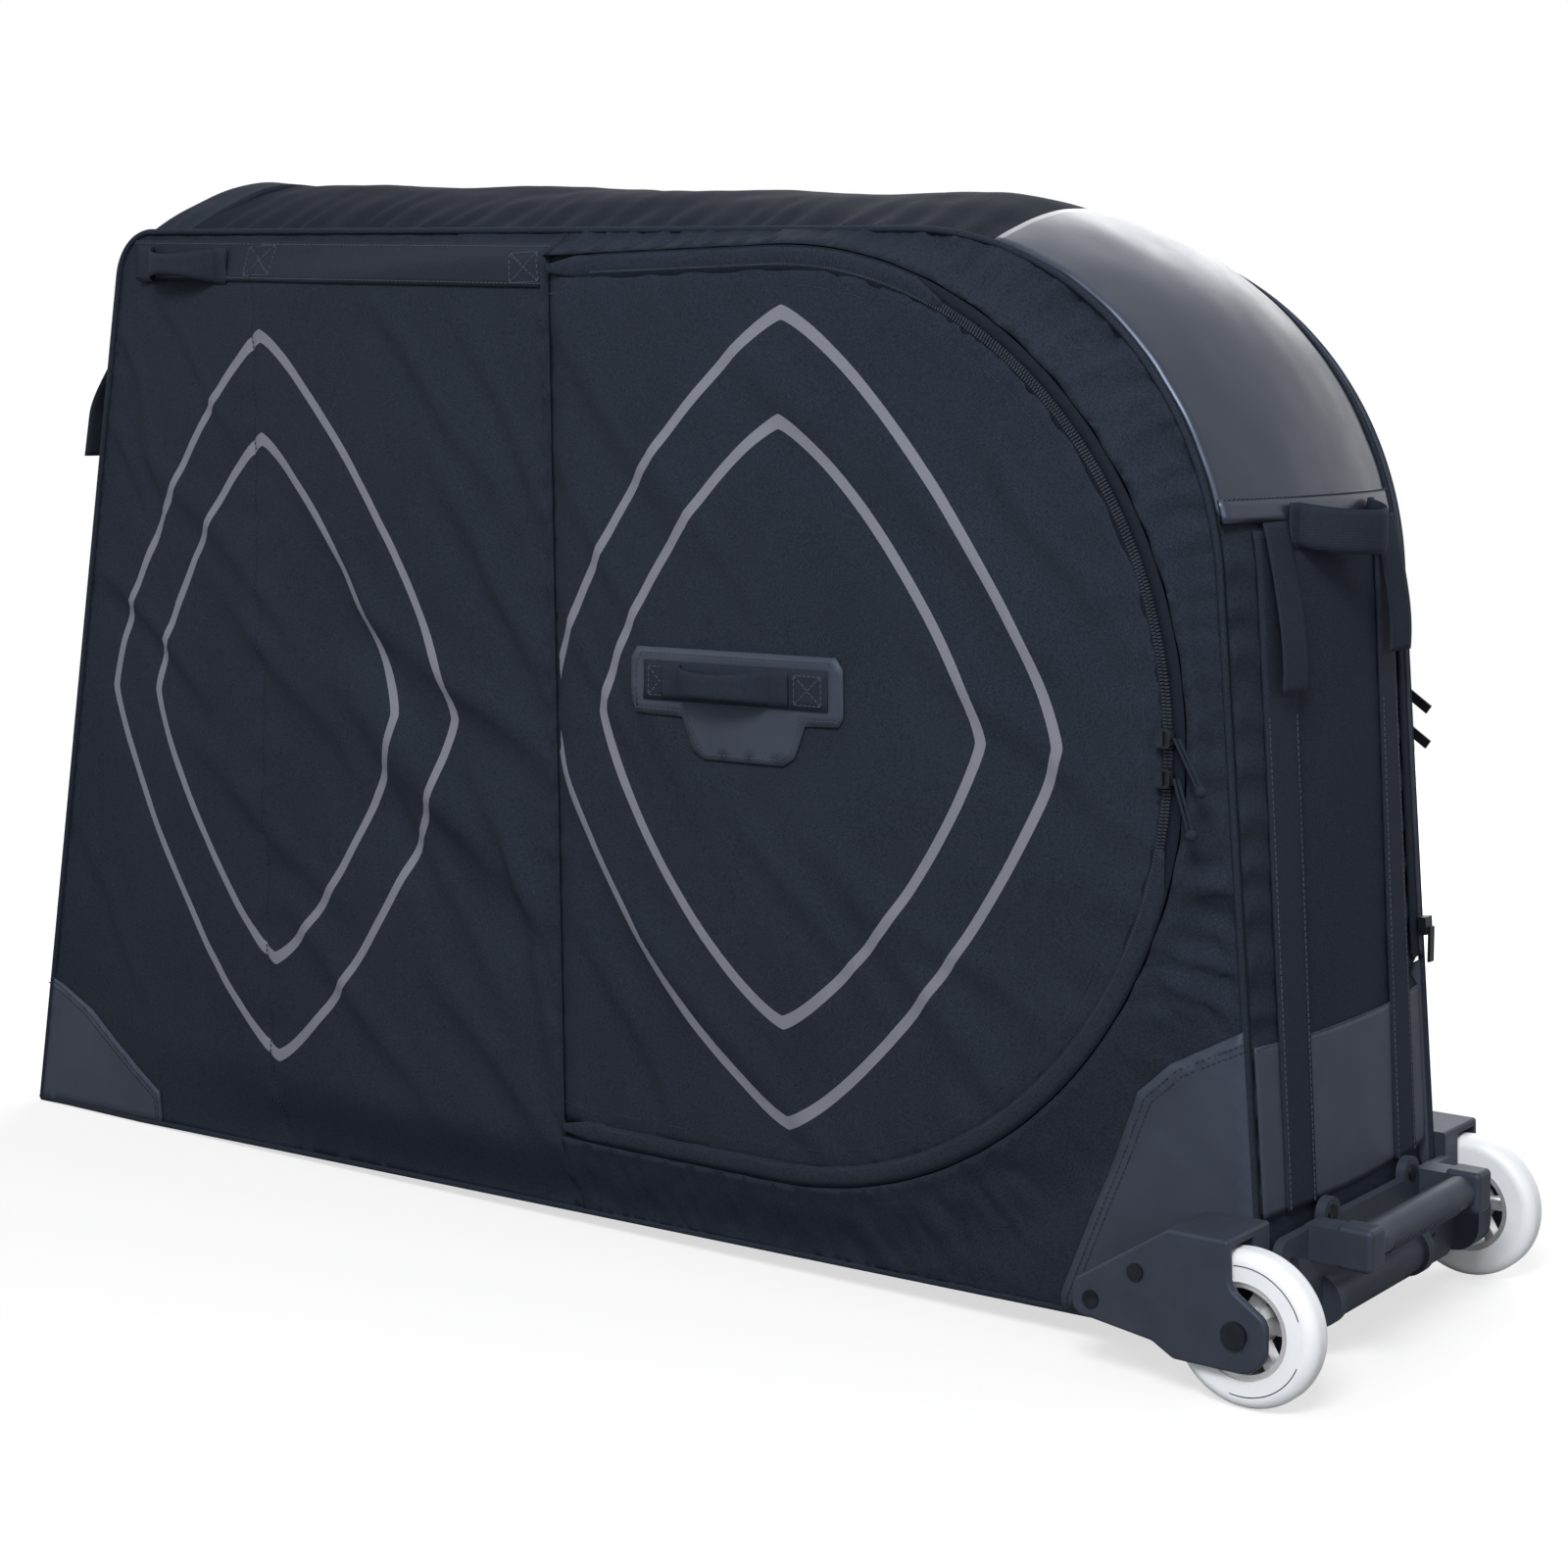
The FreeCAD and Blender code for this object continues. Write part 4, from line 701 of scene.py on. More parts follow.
def fill_slab(loop, step, height, back, sign=-1, seam=()):
    """A slab over a closed loop of (x, z) between two heights; seam gives closer points along a sewn line."""
    xs = [p[0] for p in loop]
    zs = [p[1] for p in loop]
    ring = np.array(loop)
    spots = list(seam)
    for i, z in enumerate(np.arange(min(zs) + step / 2, max(zs), step * 0.87)):
        row = np.arange(min(xs) + (step / 2 if i % 2 else 0), max(xs), step)
        spots += [(x, z) for x in row if not seam or abs(x - MID_SEAM) > 10]
    dots = [(x, z) for x, z in spots
            if inside(x, z, ring) and np.hypot(ring[:, 0] - x, ring[:, 1] - z).min() > 0.55 * step]
    count = len(loop)
    flat = [Vector(p) for p in loop] + [Vector(p) for p in dots]
    spots, _, triangles, *_ = delaunay_2d_cdt(flat, [(i, (i + 1) % count) for i in range(count)], [], 1, 1e-4)
    outer = [(p.x, sign * height(p.x, p.y), p.y) for p in spots]
    inner = [(p.x, sign * back(p.x, p.y), p.y) for p in spots]
    total = len(spots)
    faces = [tuple(t) for t in triangles] + [tuple(i + total for i in reversed(t)) for t in triangles]
    edges = {}
    for t in triangles:
        for a, b in zip(t, [*t[1:], t[0]]):
            edges.setdefault(frozenset((a, b)), []).append((a, b))
    faces += [(a, b, b + total, a + total) for (a, b), *more in edges.values() if not more]
    return outer + inner, faces


def seam_ends():
    across = crossings(OUTLINE, 0, SEAM_X)
    return (SEAM_X, across[0]), (SEAM_X, across[-1])


def d_path(radius, start_x, step=7):
    """The pocket's D from the upper straight over the round to the lower straight."""
    count = round(math.pi * radius / step)
    turns = [math.pi * k / count for k in range(count + 1)]
    arc = [(POCKET_X + radius * math.sin(a), POCKET_Z + radius * math.cos(a)) for a in turns]
    upper = resample([(start_x, POCKET_Z + radius), arc[0]], step)[:-1]
    lower = resample([arc[-1], (start_x, POCKET_Z - radius)], step)[1:]
    return upper + arc + lower


def closed_d(radius, start_x, step, fine):
    """The pocket's D as a closed loop."""
    return resample([*d_path(radius, start_x, fine), (start_x, POCKET_Z + radius)], step)


FRONT_CORNER = [(-500, SILL_Z), (-592, 98)]
REAR_CORNER = [(462, SILL_Z), (528, 190), (552, 212)]
HINGE_GAP = 0.5
FAR_FRONT_LOW, FAR_REAR_LOW = 140, 246
SILL_FRONT_TOP, SILL_REAR_TOP = 138, 244
PATCH_FRONT_TOP, PATCH_REAR_TOP = 126, 240


def raised(points):
    """The far side's lower edge, clear of the sill and corners below it."""
    return [(x, z + HINGE_GAP) for x, z in points]


def edge_points(keep):
    """The points of the side's outline that pass a test."""
    return [p for p in OUTLINE if keep(*p)]


def loops(upper):
    """Loops of the side before and round the pocket; upper leaves out the sill and the lower corners."""
    low, high = seam_ends()
    front_edge = edge_points(zone(x_high=SEAM_X, z_low=FAR_FRONT_LOW if upper else 3))
    rear_edge = edge_points(zone(SEAM_X, z_low=FAR_REAR_LOW if upper else 30))
    d = d_path(POCKET_R, SEAM_X)
    if upper:
        sill = (SEAM_X, SILL_Z + HINGE_GAP)
        front_low = [*raised(FRONT_CORNER), (front_edge[0][0], FAR_FRONT_LOW)]
        front = [sill, *front_low, *front_edge, high, (SEAM_X, POCKET_Z + POCKET_R), sill]
        round_it = [*d[::-1], high, *rear_edge, *raised(REAR_CORNER)[::-1], sill]
    else:
        front = [low, FRONT_FOOT, *front_edge, high, (SEAM_X, POCKET_Z + POCKET_R), low]
        round_it = [*d[::-1], high, *rear_edge, REAR_FOOT, low]
    return resample(front, 9)[:-1], resample([*round_it, round_it[0]], 9)[:-1]


def level(height):
    """A flat side surface."""
    return lambda x, z: height


back_of_side = level(SIDE_FACE - 6.5)


def side_pieces(sign, upper, name, body, node):
    front, round_it = loops(upper)
    height = side_height if sign < 0 else far_height
    slabs = [fill_slab(front, 7.5, height, back_of_side, sign, SEAM_DOTS)]
    slabs.append(fill_slab(round_it, 5.5, height, back_of_side, sign))
    made = make(name, *merged(*slabs), FRONT_CLOTH if sign < 0 else CLOTH, body, [node], "body_fabric")
    return made


side_pieces(-1, False, "near_side_skin", "case", "near_side_panel")
side_pieces(1, True, "far_side_skin", "side_flap", "far_side_panel")


def sill_loop():
    """Sill and lower corners of the far side."""
    front_top = edge_points(zone(x_high=-500, z_low=3, z_high=SILL_FRONT_TOP))
    rear_top = edge_points(zone(500, z_low=28, z_high=SILL_REAR_TOP))
    path = [FRONT_FOOT, *front_top, *FRONT_CORNER[::-1], *REAR_CORNER, *rear_top, REAR_FOOT, FRONT_FOOT]
    return resample(path, 9)[:-1]


far_sill = make("far_sill_skin", *fill_slab(sill_loop(), 9, far_height, back_of_side, 1), COATED, "case",
                ["far_sill_panel"], "coated_fabric")


def patch_loops():
    """The two lower corner patches of the near side."""
    front_edge = edge_points(zone(x_high=-500, z_low=3, z_high=PATCH_FRONT_TOP))
    rear_edge = edge_points(zone(500, z_low=28, z_high=PATCH_REAR_TOP))
    base = FRONT_CORNER[0][0], 3.6
    foot = REAR_CORNER[0][0], 22.2
    front = [base, FRONT_FOOT, *sorted(front_edge, key=lambda p: p[1]), *FRONT_CORNER[::-1], base]
    rear = [foot, *REAR_CORNER, *sorted(rear_edge, key=lambda p: -p[1]), REAR_FOOT, foot]
    return [resample(path, 7)[:-1] for path in (front, rear)]


def lifted(height, by):
    return lambda x, z: height(x, z) + by


patch_faces = lifted(side_height, 1.9), lifted(side_height, 0.1)
near_patches = [fill_slab(loop, 9, *patch_faces) for loop in patch_loops()]
make("near_corner_skin", *merged(*near_patches), COATED, "case", ["near_corner_patches"], "coated_fabric")


def closed_tube(grid):
    """Rings of points as a tube with a cap at both ends."""
    count, sides = grid.shape[:2]
    faces = grid_faces(count, sides, wrap=True)
    faces += [tuple(range(sides)), tuple((count - 1) * sides + i for i in reversed(range(sides)))]
    return grid.reshape(-1, 3), faces


def tube(path, radius, sides=8):
    """A round tube along a path of points, closed at both ends."""
    line = np.array(path, float)
    along = unit(np.gradient(line, axis=0))
    side = unit(np.cross(along, (0, 1, 0)))
    up = np.cross(side, along)
    turns = np.linspace(0, 2 * math.pi, sides, endpoint=False)
    ring = [line + radius * (math.cos(t) * side + math.sin(t) * up) for t in turns]
    return closed_tube(np.stack(ring, axis=1))


# Round pockets: lining cup, flap, zip tapes and teeth
def ring_slab(inner_r, outer_r, start_x, height, thick, sign):
    """A flat ring along the pocket's D between two radii."""
    inner_path = np.array(d_path(inner_r, start_x, 6))
    outer_path = np.array(d_path(outer_r, start_x, 6))
    count = min(len(inner_path), len(outer_path))
    pick = np.linspace(0, 1, count)
    rows = []
    for path in (inner_path, outer_path):
        spots = np.linspace(0, 1, len(path))
        rows.append(np.stack([np.interp(pick, spots, path[:, k]) for k in (0, 1)], axis=1))
    across = np.stack([rows[0] * (1 - t) + rows[1] * t for t in (0, 0.5, 1)], axis=1)
    return laid(across, height, thick, sign)


def block(centre, along, across, out, size):
    """A small box on a surface: its points and faces."""
    a, b, c = (np.array(v) * s / 2 for v, s in zip((along, across, out), size))
    base = np.array(centre)
    points = [base + i * a + j * b + k * c for i in (-1, 1) for j in (-1, 1) for k in (-1, 1)]
    faces = [(0, 1, 3, 2), (4, 6, 7, 5), (0, 4, 5, 1), (2, 3, 7, 6), (0, 2, 6, 4), (1, 5, 7, 3)]
    return points, faces


def blocks_on(path, pitch, height, size, sign):
    """Small boxes at even steps along a path of (x, z) on a side surface."""
    spots = resample(path, pitch)
    found = []
    for a, b in zip(spots, spots[1:]):
        x, z = (a[0] + b[0]) / 2, (a[1] + b[1]) / 2
        run = unit(np.array([b[0] - a[0], 0, b[1] - a[1]]))
        side = np.array([-run[2], 0, run[0]])
        found.append(block((x, sign * height(x, z), z), run, side, (0, 1, 0), size))
    return found


def stitches(path, height, sign, long=STITCH[0]):
    return blocks_on(path, STITCH_PITCH, lifted(height, 0.1), (long, *STITCH[1:]), sign)


tape_height = level(RIM_FACE + 5.2)
trim_height = level(RIM_FACE + 6.2)


def cup_slabs(sign):
    """The lining of a pocket: a wall round the D and a floor."""
    ring = closed_d(POCKET_R - 0.4, SEAM_X + 0.4, 12, 7)
    inner = [(SEAM_X + 4 if x < SEAM_X + 1 else POCKET_X + (x - POCKET_X) * 0.989 if x > POCKET_X else x,
              POCKET_Z + (z - POCKET_Z) * 0.989) for x, z in ring]
    depths = np.linspace(RIM_FACE - 4, RIM_FACE - 79, 9)
    outer_grid = np.array([[(x, sign * d, z) for d in depths] for x, z in ring])
    inner_grid = np.array([[(x, sign * d, z) for d in depths] for x, z in inner])
    floor_loop = closed_d(POCKET_R - 1, SEAM_X + 1, 12, 12)[:-1]
    floor = fill_slab(floor_loop, 26, lambda x, z: RIM_FACE - 75.6 + slack(x, z, 3.0, 0.5),
                      level(RIM_FACE - 79.4), sign)
    return slab_points(outer_grid, inner_grid), floor


def flap_back(x, z):
    """Inner face of a flap: clear of the pocket's rim, thinner at its sewn edge."""
    return min(RIM_FACE + 0.6, flap_height(x, z) - 1.2)


COVER_HALF = 8.5


def cover_height(x, z):
    """The rolled edge over the zip: domed across its width."""
    across = (rim_gap(x, z) + POCKET_R - ZIP_R - 2) / COVER_HALF
    return RIM_FACE + 4.2 + 3.9 * math.sqrt(max(0.0, 1 - across ** 2))


def cover_slab(keep, sign):
    """A rolled edge along the part of the zip that it hides; it narrows to its ends."""
    line = np.array([p for p in d_path(ZIP_R + 2, SEAM_X + 5, 5) if keep(*p)])
    count = np.arange(len(line))
    half = COVER_HALF * np.minimum(1.0, 0.25 + np.minimum(count, count[::-1]) / 8)
    off = half[:, None] * np.linspace(-1, 1, 9)
    return laid(line[:, None] + sideways(line)[:, None] * off[..., None], cover_height, 1.4, sign)


FLAP_LOOP = closed_d(ZIP_R - 0.6, SEAM_X, 8, 8)[:-1]
# The rolled edge covers the zip before it comes into view, and again below the sliders
upper_roll = zone(x_high=POCKET_X + 150, z_low=POCKET_Z)
lower_roll = zone(z_high=POCKET_Z - 60)
TEETH = (1.5, 3.0, 1.8)
ZIP_FROM = SEAM_X + 50

for side, sign, shell_body in SIDES:
    flap_body = f"{side}_pocket_flap"
    cup = make(f"{side}_pocket_cup", *merged(*cup_slabs(sign)), LINING, shell_body, [f"{side}_pocket_liner"],
               "liner_fabric")
    flap = make(f"{side}_flap_skin", *fill_slab(FLAP_LOOP, 7.5, flap_height, flap_back, sign),
                FLAP_CLOTH if sign < 0 else CLOTH, flap_body, [f"{side}_flap_panel"], "body_fabric")
    make(f"{side}_shell_tape", *ring_slab(ZIP_R + 0.8, POCKET_R - 1, ZIP_FROM, tape_height, 1.8, sign), TAPE,
         shell_body, [f"{side}_pocket_zip_tape"], "zip_tape")
    make(f"{side}_flap_tape", *ring_slab(ZIP_R - 7, ZIP_R - 0.8, ZIP_FROM, trim_height, 1.6, sign), TAPE,
         flap_body, [f"{side}_flap_zip_tape"], "zip_tape")
    rows = blocks_on(d_path(ZIP_R + 1.6, ZIP_FROM), 2.6, lifted(tape_height, 1.3), TEETH, sign)
    small_pieces(f"{side}_shell_teeth", rows, COIL, shell_body, "zip_tape")
    rows = blocks_on(d_path(ZIP_R - 1.6, ZIP_FROM), 2.6, lifted(trim_height, 0.6), TEETH, sign)
    small_pieces(f"{side}_flap_teeth", rows, COIL, flap_body, "zip_tape")
    covers = [cover_slab(keep, sign) for keep in (upper_roll, lower_roll)]
    make(f"{side}_zip_cover", *merged(*covers), CLOTH, flap_body, slot="body_fabric")
    rows = stitches(d_path(ZIP_R - 16.5, SEAM_X + 4), flap_height, sign)
    small_pieces(f"{side}_flap_stitches", rows, SEAM_THREAD, flap_body, "zip_tape")


# Webbing
def ribbon(spine, across, wide, thick, columns=7):
    """A strap along a spine of points; across is its width direction. Its long edges are rounded."""
    line = np.array(spine, float)
    along = np.gradient(line, axis=0)
    side = unit(np.array(across, float))
    out = unit(np.cross(along, side))
    spots = np.linspace(-1, 1, columns)
    full = np.sqrt(np.maximum(0.0, 1 - np.abs(spots) ** 8)) * 0.75 + 0.25
    half = np.broadcast_to(np.asarray(wide, float) / 2, (len(line),))
    middle = line[:, None] + side * (spots[None, :] * half[:, None])[..., None]
    rise = out[:, None] * (full * thick / 2)[None, :, None]
    return slab_points(middle + rise, middle - rise)


def arch(t, flat=0.16):
    """Height of a sewn strap handle along its length: flat at both ends, bowed between."""
    if t < flat or t > 1 - flat:
        return 0.0
    return math.sin(math.pi * (t - flat) / (1 - 2 * flat)) ** 0.6


def side_handle(start, end, height, off, wide, pinch, sign, lift):
    """A webbing handle on a side, from one (x, z) to another."""
    spine = []
    steps = np.linspace(0, 1, HANDLE_STEPS)
    for t in steps:
        x = start[0] * (1 - t) + end[0] * t
        z = start[1] * (1 - t) + end[1] * t
        spine.append((x, sign * (height(x, z) + lift + off * arch(t)), z))
    fall = (end[1] - start[1]) / (end[0] - start[0])
    widths = [wide - pinch * arch(t) for t in steps]
    return ribbon(spine, (-fall, 0, 1), widths, HANDLE_THICK)


def surface_strip(path, wide, height, lift, thick, sign, step=8, columns=5):
    """A band that follows a path of (x, z) and lies on a side surface."""
    spots = np.array(resample(path, step))
    off = np.linspace(-wide / 2, wide / 2, columns)
    rows = spots[:, None] + sideways(spots)[:, None] * off[:, None]
    return laid(rows, lifted(height, lift), thick, sign)


def cross_box(x0, x1, z0, z1):
    """Paths of a box with a cross in it, as sewn on strap ends."""
    return [[(x0, z0), (x1, z0), (x1, z1), (x0, z1), (x0, z0)], [(x0, z0), (x1, z1)], [(x0, z1), (x1, z0)]]


STRIP = [(-487, 776), (14, 753)]
PATCH = [(108, 430), (112, 423), (158, 422), (168, 398), (178, 392), (250, 392), (260, 398),
         (270, 422), (300, 423), (304, 430), (304, 464), (298, 472), (114, 472), (108, 464)]
HUB_HANDLE = [(141, 448), (257, 448)]
HUB_BASE = [(122, 448), (291, 448)]
GRAB = [(-480, 772), (-364, 766)]


def inset_loop(loop, by):
    """A closed loop drawn in towards its middle."""
    middle = np.mean(np.array(loop), axis=0)
    found = []
    for x, z in loop:
        away = np.array([x, z]) - middle
        found.append((x - math.copysign(by, away[0]), z - math.copysign(by, away[1])))
    return found


for side, sign, shell_body in SIDES:
    flap_body = f"{side}_pocket_flap"
    strip = surface_strip(STRIP, 33, side_height, 2.2, 2.0, sign, columns=7)
    make(f"{side}_strip_web", *strip, WEB_X, shell_body, [f"{side}_side_strip"], "webbing")
    lines = [[(a[0], a[1] + k), (b[0], b[1] + k)] for k in (-14, 14) for a, b in [STRIP]]
    lines += cross_box(-340, -306, 757, 781) + cross_box(-22, 8, 741, 763)
    rows = [s for line in lines for s in stitches(line, lifted(side_height, 2.2), sign)]
    small_pieces(f"{side}_strip_stitches", rows, THREAD, shell_body, "webbing")
    grab = side_handle(*GRAB, side_height, 21, 30, 13, sign, 4.2)
    make(f"{side}_grab_web", *grab, WEB_X, shell_body, [f"{side}_side_handle"], "webbing")
    loop = resample([*PATCH, PATCH[0]], 6)[:-1]
    patch = fill_slab(loop, 8, lifted(flap_height, 2.0), lifted(flap_height, 0.2), sign)
    make(f"{side}_hub_patch", *patch, COATED, flap_body, [f"{side}_flap_patch"], "coated_fabric")
    rim = inset_loop(PATCH, 4)
    rows = stitches([*rim, rim[0]], lifted(flap_height, 2.0), sign)
    small_pieces(f"{side}_patch_stitches", rows, THREAD, flap_body, "coated_fabric")
    base = surface_strip(HUB_BASE, 29, flap_height, 3.6, 1.6, sign, columns=5)
    make(f"{side}_hub_base", *base, WEB_X, flap_body, slot="webbing")
    lines = cross_box(127, 150, 437, 458) + cross_box(262, 286, 437, 458)
    rows = [s for line in lines for s in stitches(line, lifted(flap_height, 3.7), sign)]
    small_pieces(f"{side}_hub_stitches", rows, THREAD, flap_body, "webbing")
    bar = side_handle(*HUB_HANDLE, flap_height, 19, 26, 8, sign, 5.0)
    make(f"{side}_hub_handle", *bar, WEB_X, flap_body, [f"{side}_flap_handle"], "webbing")


# Ends: straps with loose tails, the lower patch and the handles
def end_x(z, y=0.0):
    """The gusset's surface on the wheeled end at a height."""
    return surface_x(z, y, 1)


def surface_x(z, y, way):
    """Where the gusset's end face stands at a height; way is 1 at the wheels and -1 at the front."""
    crown = 1 - (y / HALF) ** 2
    line = EDGE_LINE + (MID_LINE - EDGE_LINE) * crown
    half = line[line[:, 0] > 0] if way > 0 else line[line[:, 0] < 0]
    order = np.argsort(half[:, 1])
    return float(np.interp(z, half[order, 1], half[order, 0]))


STRAP_LOW, END_PATCH_TOP = 108, 229
on_strap = zone(HOOD_START, z_low=STRAP_LOW, z_high=HOOD_HEM - 8)
on_end_patch = zone(HOOD_START, z_low=STRAP_LOW, z_high=END_PATCH_TOP)
strap_ys = np.linspace(STRAP_IN, STRAP_IN + STRAP_WIDE, 7)
strap_soft = slackened(11.0, 0.5)
strap_slabs = [band_slab(on_strap, ys, 2.6, 2.4, relief=strap_soft) for ys in (strap_ys, -strap_ys[::-1])]
make("end_strap_web", *merged(*strap_slabs), WEB_Z, "case", ["end_straps"], "webbing")


def tail(name, y, length):
    """The loose end of a strap: it hangs from under the hood and curls out a little."""
    spine = []
    for t in np.linspace(0, 1, 24):
        z = HOOD_HEM - 6 - length * t
        spine.append((end_x(z, y) + 5.5 + 9 * math.sin(2.4 * t) * t, y + 2.5 * math.sin(3 * t), z))
    made = make(name, *ribbon(spine, (0, 1, 0), TAIL_WIDE, TAIL_THICK), WEB_Z, "case", slot="webbing")


def front_tail():
    """The loose strap end that stands off the front near the side's edge."""
    spine = []
    for t in np.linspace(0, 1, 24):
        z = 714 - 108 * t
        spine.append((surface_x(z, -104, -1) - 3 - 30 * ease(1.5 * t) - 4 * t, -104, z))
    strap = ribbon(spine, (0, 1, 0), TAIL_WIDE, TAIL_THICK)
    made = make("front_strap_tail", *strap, WEB_Z, "case", slot="webbing")


front_tail()
tail("near_strap_tail", -(STRAP_IN + STRAP_WIDE / 2), 112)
tail("far_strap_tail", STRAP_IN + STRAP_WIDE / 2, 96)

patch_ys = [np.linspace(-STRAP_IN - 6, STRAP_IN + 6, 17), np.linspace(STRAP_IN + STRAP_WIDE - 4, HALF - 1, 6)]
patch_ys.append(-patch_ys[1][::-1])
patch_soft = slackened(13.0, 0.8)
end_patches = [band_slab(on_end_patch, ys, 0.9, 1.6, relief=patch_soft) for ys in patch_ys]
make("end_patch_skin", *merged(*end_patches), COATED, "case", ["end_patch"], "coated_fabric")


def end_handle(name, way, z, wide, off, node):
    """A webbing handle across an end."""
    spine = []
    for t in np.linspace(0, 1, HANDLE_STEPS):
        y = -STRAP_IN + 2 * STRAP_IN * t
        spine.append((surface_x(z, y, way) + way * (3.0 + off * arch(t, 0.1)), y, z - 6 * arch(t, 0.1)))
    make(name, *ribbon(spine, (0, 0, 1), wide, HANDLE_THICK), WEB_Z, "case", [node], "webbing")


end_handle("end_handle_web", 1, 566, 30, 30, "end_handle")
end_handle("front_handle_web", -1, 658, 30, 24, "front_handle")


# Main zip on the far edge
ZIP_FRONT_LOW, ZIP_REAR_LOW = 132, 244


def on_main_zip(x, z):
    return z > (ZIP_REAR_LOW if x > 0 else ZIP_FRONT_LOW)


zip_ys = np.linspace(HALF - 15, HALF - 0.4, 4)
make("main_tape_web", *band_slab(on_main_zip, zip_ys, 2.6, 2.0), TAPE, "case", ["main_zip_tape"], "zip_tape")
zip_edge = edge_points(on_main_zip)
coil_path = [(x, HALF + 4, z) for x, z in offset_out(zip_edge, 2.0)]
make("main_coil_tube", *tube(coil_path, 1.9), COIL, "side_flap", ["main_zip_coil"], "zip_tape")


# Piping along the sides and the base
SILL_PIPE_TOP, SIDE_PIPE_LOW = 262, 256


def piping(name, points, sign, body):
    """A piped edge along a line of (x, z), clear of the floor."""
    line = [(x, sign * (SIDE_FACE + 1.0), max(z, PIPE_LOW)) for x, z in resample(points, PIPE_STEP)]
    make(name, *tube(line, PIPE_R), CLOTH, body, slot="body_fabric")


front_low = edge_points(zone(x_high=0, z_high=ZIP_FRONT_LOW))[::-1]
rear_low = edge_points(zone(0, z_high=SILL_PIPE_TOP))[::-1]
far_high = [p for p in zip_edge if p[0] < 0 or p[1] > SIDE_PIPE_LOW]
piping("near_piping", [*OUTLINE, OUTLINE[0]], -1, "case")
piping("far_sill_piping", [*front_low, *rear_low], 1, "case")
piping("far_side_piping", far_high, 1, "side_flap")
base_edge = resample([FRONT_FOOT, REAR_FOOT], 20)
second = [(x, -HALF + 4, z + 0.4) for x, z in base_edge if x > 0]
make("base_piping", *tube(second, 2.2), CLOTH, "case", slot="body_fabric")


# Stitches on the near side and on the wheeled end
def corner_line(corner, top):
    return [(corner[0][0], 6 if corner is FRONT_CORNER else 28), *corner, top]


rows = []
for corner, top in ((FRONT_CORNER, (-648, 124)), (REAR_CORNER, (597, 234))):
    for shift in (-4.0, -7.5):
        side = 1 if corner is REAR_CORNER else -1
        path = [(x - side * shift, max(z + shift, 3)) for x, z in corner_line(corner, top)]
        rows += stitches(path, lifted(side_height, 2.0), -1)
rows += stitches([(MID_SEAM, 738), (MID_SEAM, 30)], lifted(side_height, 0.4), -1, 2.4)
small_pieces("side_stitches", rows, SEAM_THREAD, "case", "coated_fabric")


def end_stitch(y, z, lift, upright):
    """One stitch on the wheeled end."""
    along, across = (0, 1, 0), (0, 0, 1)
    if upright:
        along, across = across, along
    return block((end_x(z, y) + lift, y, z), along, across, (1, 0, 0), STITCH)


rows = [end_stitch(y, 224, 1.1, False) for y in np.arange(-HALF + 4, HALF - 3, STITCH_PITCH)]
for y in (-STRAP_IN - 3, STRAP_IN + 3, -STRAP_IN - STRAP_WIDE + 3, STRAP_IN + STRAP_WIDE - 3):
    rows += [end_stitch(y, z, 2.9, True) for z in np.arange(112, 440, STITCH_PITCH)]
rows += [end_stitch(y, HOOD_HEM + 10, 2.7, False) for y in np.arange(-HALF + 6, HALF - 5, STITCH_PITCH)]
small_pieces("end_stitches", rows, THREAD, "case", "webbing")


# Cord pulls of the near zip
def cord_piece(end, low, lean):
    """The two strands of a cord pull, side by side; the knot below them is shown as built."""
    head = np.array([PULL_X, PULL_Y, low + 6.5])
    way = np.array([math.sin(math.radians(lean)), 0, -math.cos(math.radians(lean))])
    for i, step in enumerate((0.0, 3.4)):
        start = head + np.array([step, 0, 0])
        points = [start + way * d for d in np.linspace(0, 35, 6)]
        curve = bpy.data.curves.new(f"near_{end}_strand_{i}", "CURVE")
        curve.dimensions = "3D"
        curve.bevel_depth = 1.1 * MM
        curve.bevel_resolution = 3
        curve.use_fill_caps = True
        spline = curve.splines.new("NURBS")
        spline.points.add(len(points) - 1)
        for spot, point in zip(spline.points, points):
            spot.co = (*(point * MM), 1)
        spline.order_u = 3
        spline.use_endpoint_u = True
        curve.materials.append(WEB_Z)
        made = bpy.data.objects.new(f"near_{end}_strand_{i}", curve)
        bpy.context.scene.collection.objects.link(made)
        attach(made, f"near_{end}_pull")
        if i == 0:
            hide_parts(f"near_{end}_cord")


cord_piece("upper", 426.5, 29)
cord_piece("lower", 400.5, 18)


# Looks of the pieces that are shown as built
LOOKS = {
    PLASTIC: ["near_bracket", "far_bracket", "rear_carrier"],
    STEEL: ["near_bearings", "far_bearings", "wheel_spacers"],
    DARK_METAL: ["axle_bolts", "bracket_rivets", "carrier_rivets", "near_upper_slider", "near_lower_slider",
                 "far_upper_slider", "far_lower_slider", "main_zip_slider"],
    TYRE: ["near_tyre", "far_tyre"],
    ALLOY: ["near_hub", "far_hub"],
    BOARD: ["base_board", "stiffener_tubes"],
    WEB_X: ["near_upper_knot", "near_lower_knot"],
}
for material, nodes in LOOKS.items():
    for node in nodes:
        shown = NODES[node]
        shown.data.materials.clear()
        shown.data.materials.append(material)


FOAM_LOW, FOAM_GROOVE = 9.8, 44
FOAM_SIDE = [(55, 0), (55, 30), (54, 62), (46, 70), (24, 69), (14, 62), (13, 46)]
FOAM_SECTION = [*[(-y, up) for y, up in FOAM_SIDE], (0, FOAM_GROOVE), *FOAM_SIDE[::-1], (0, 0)]


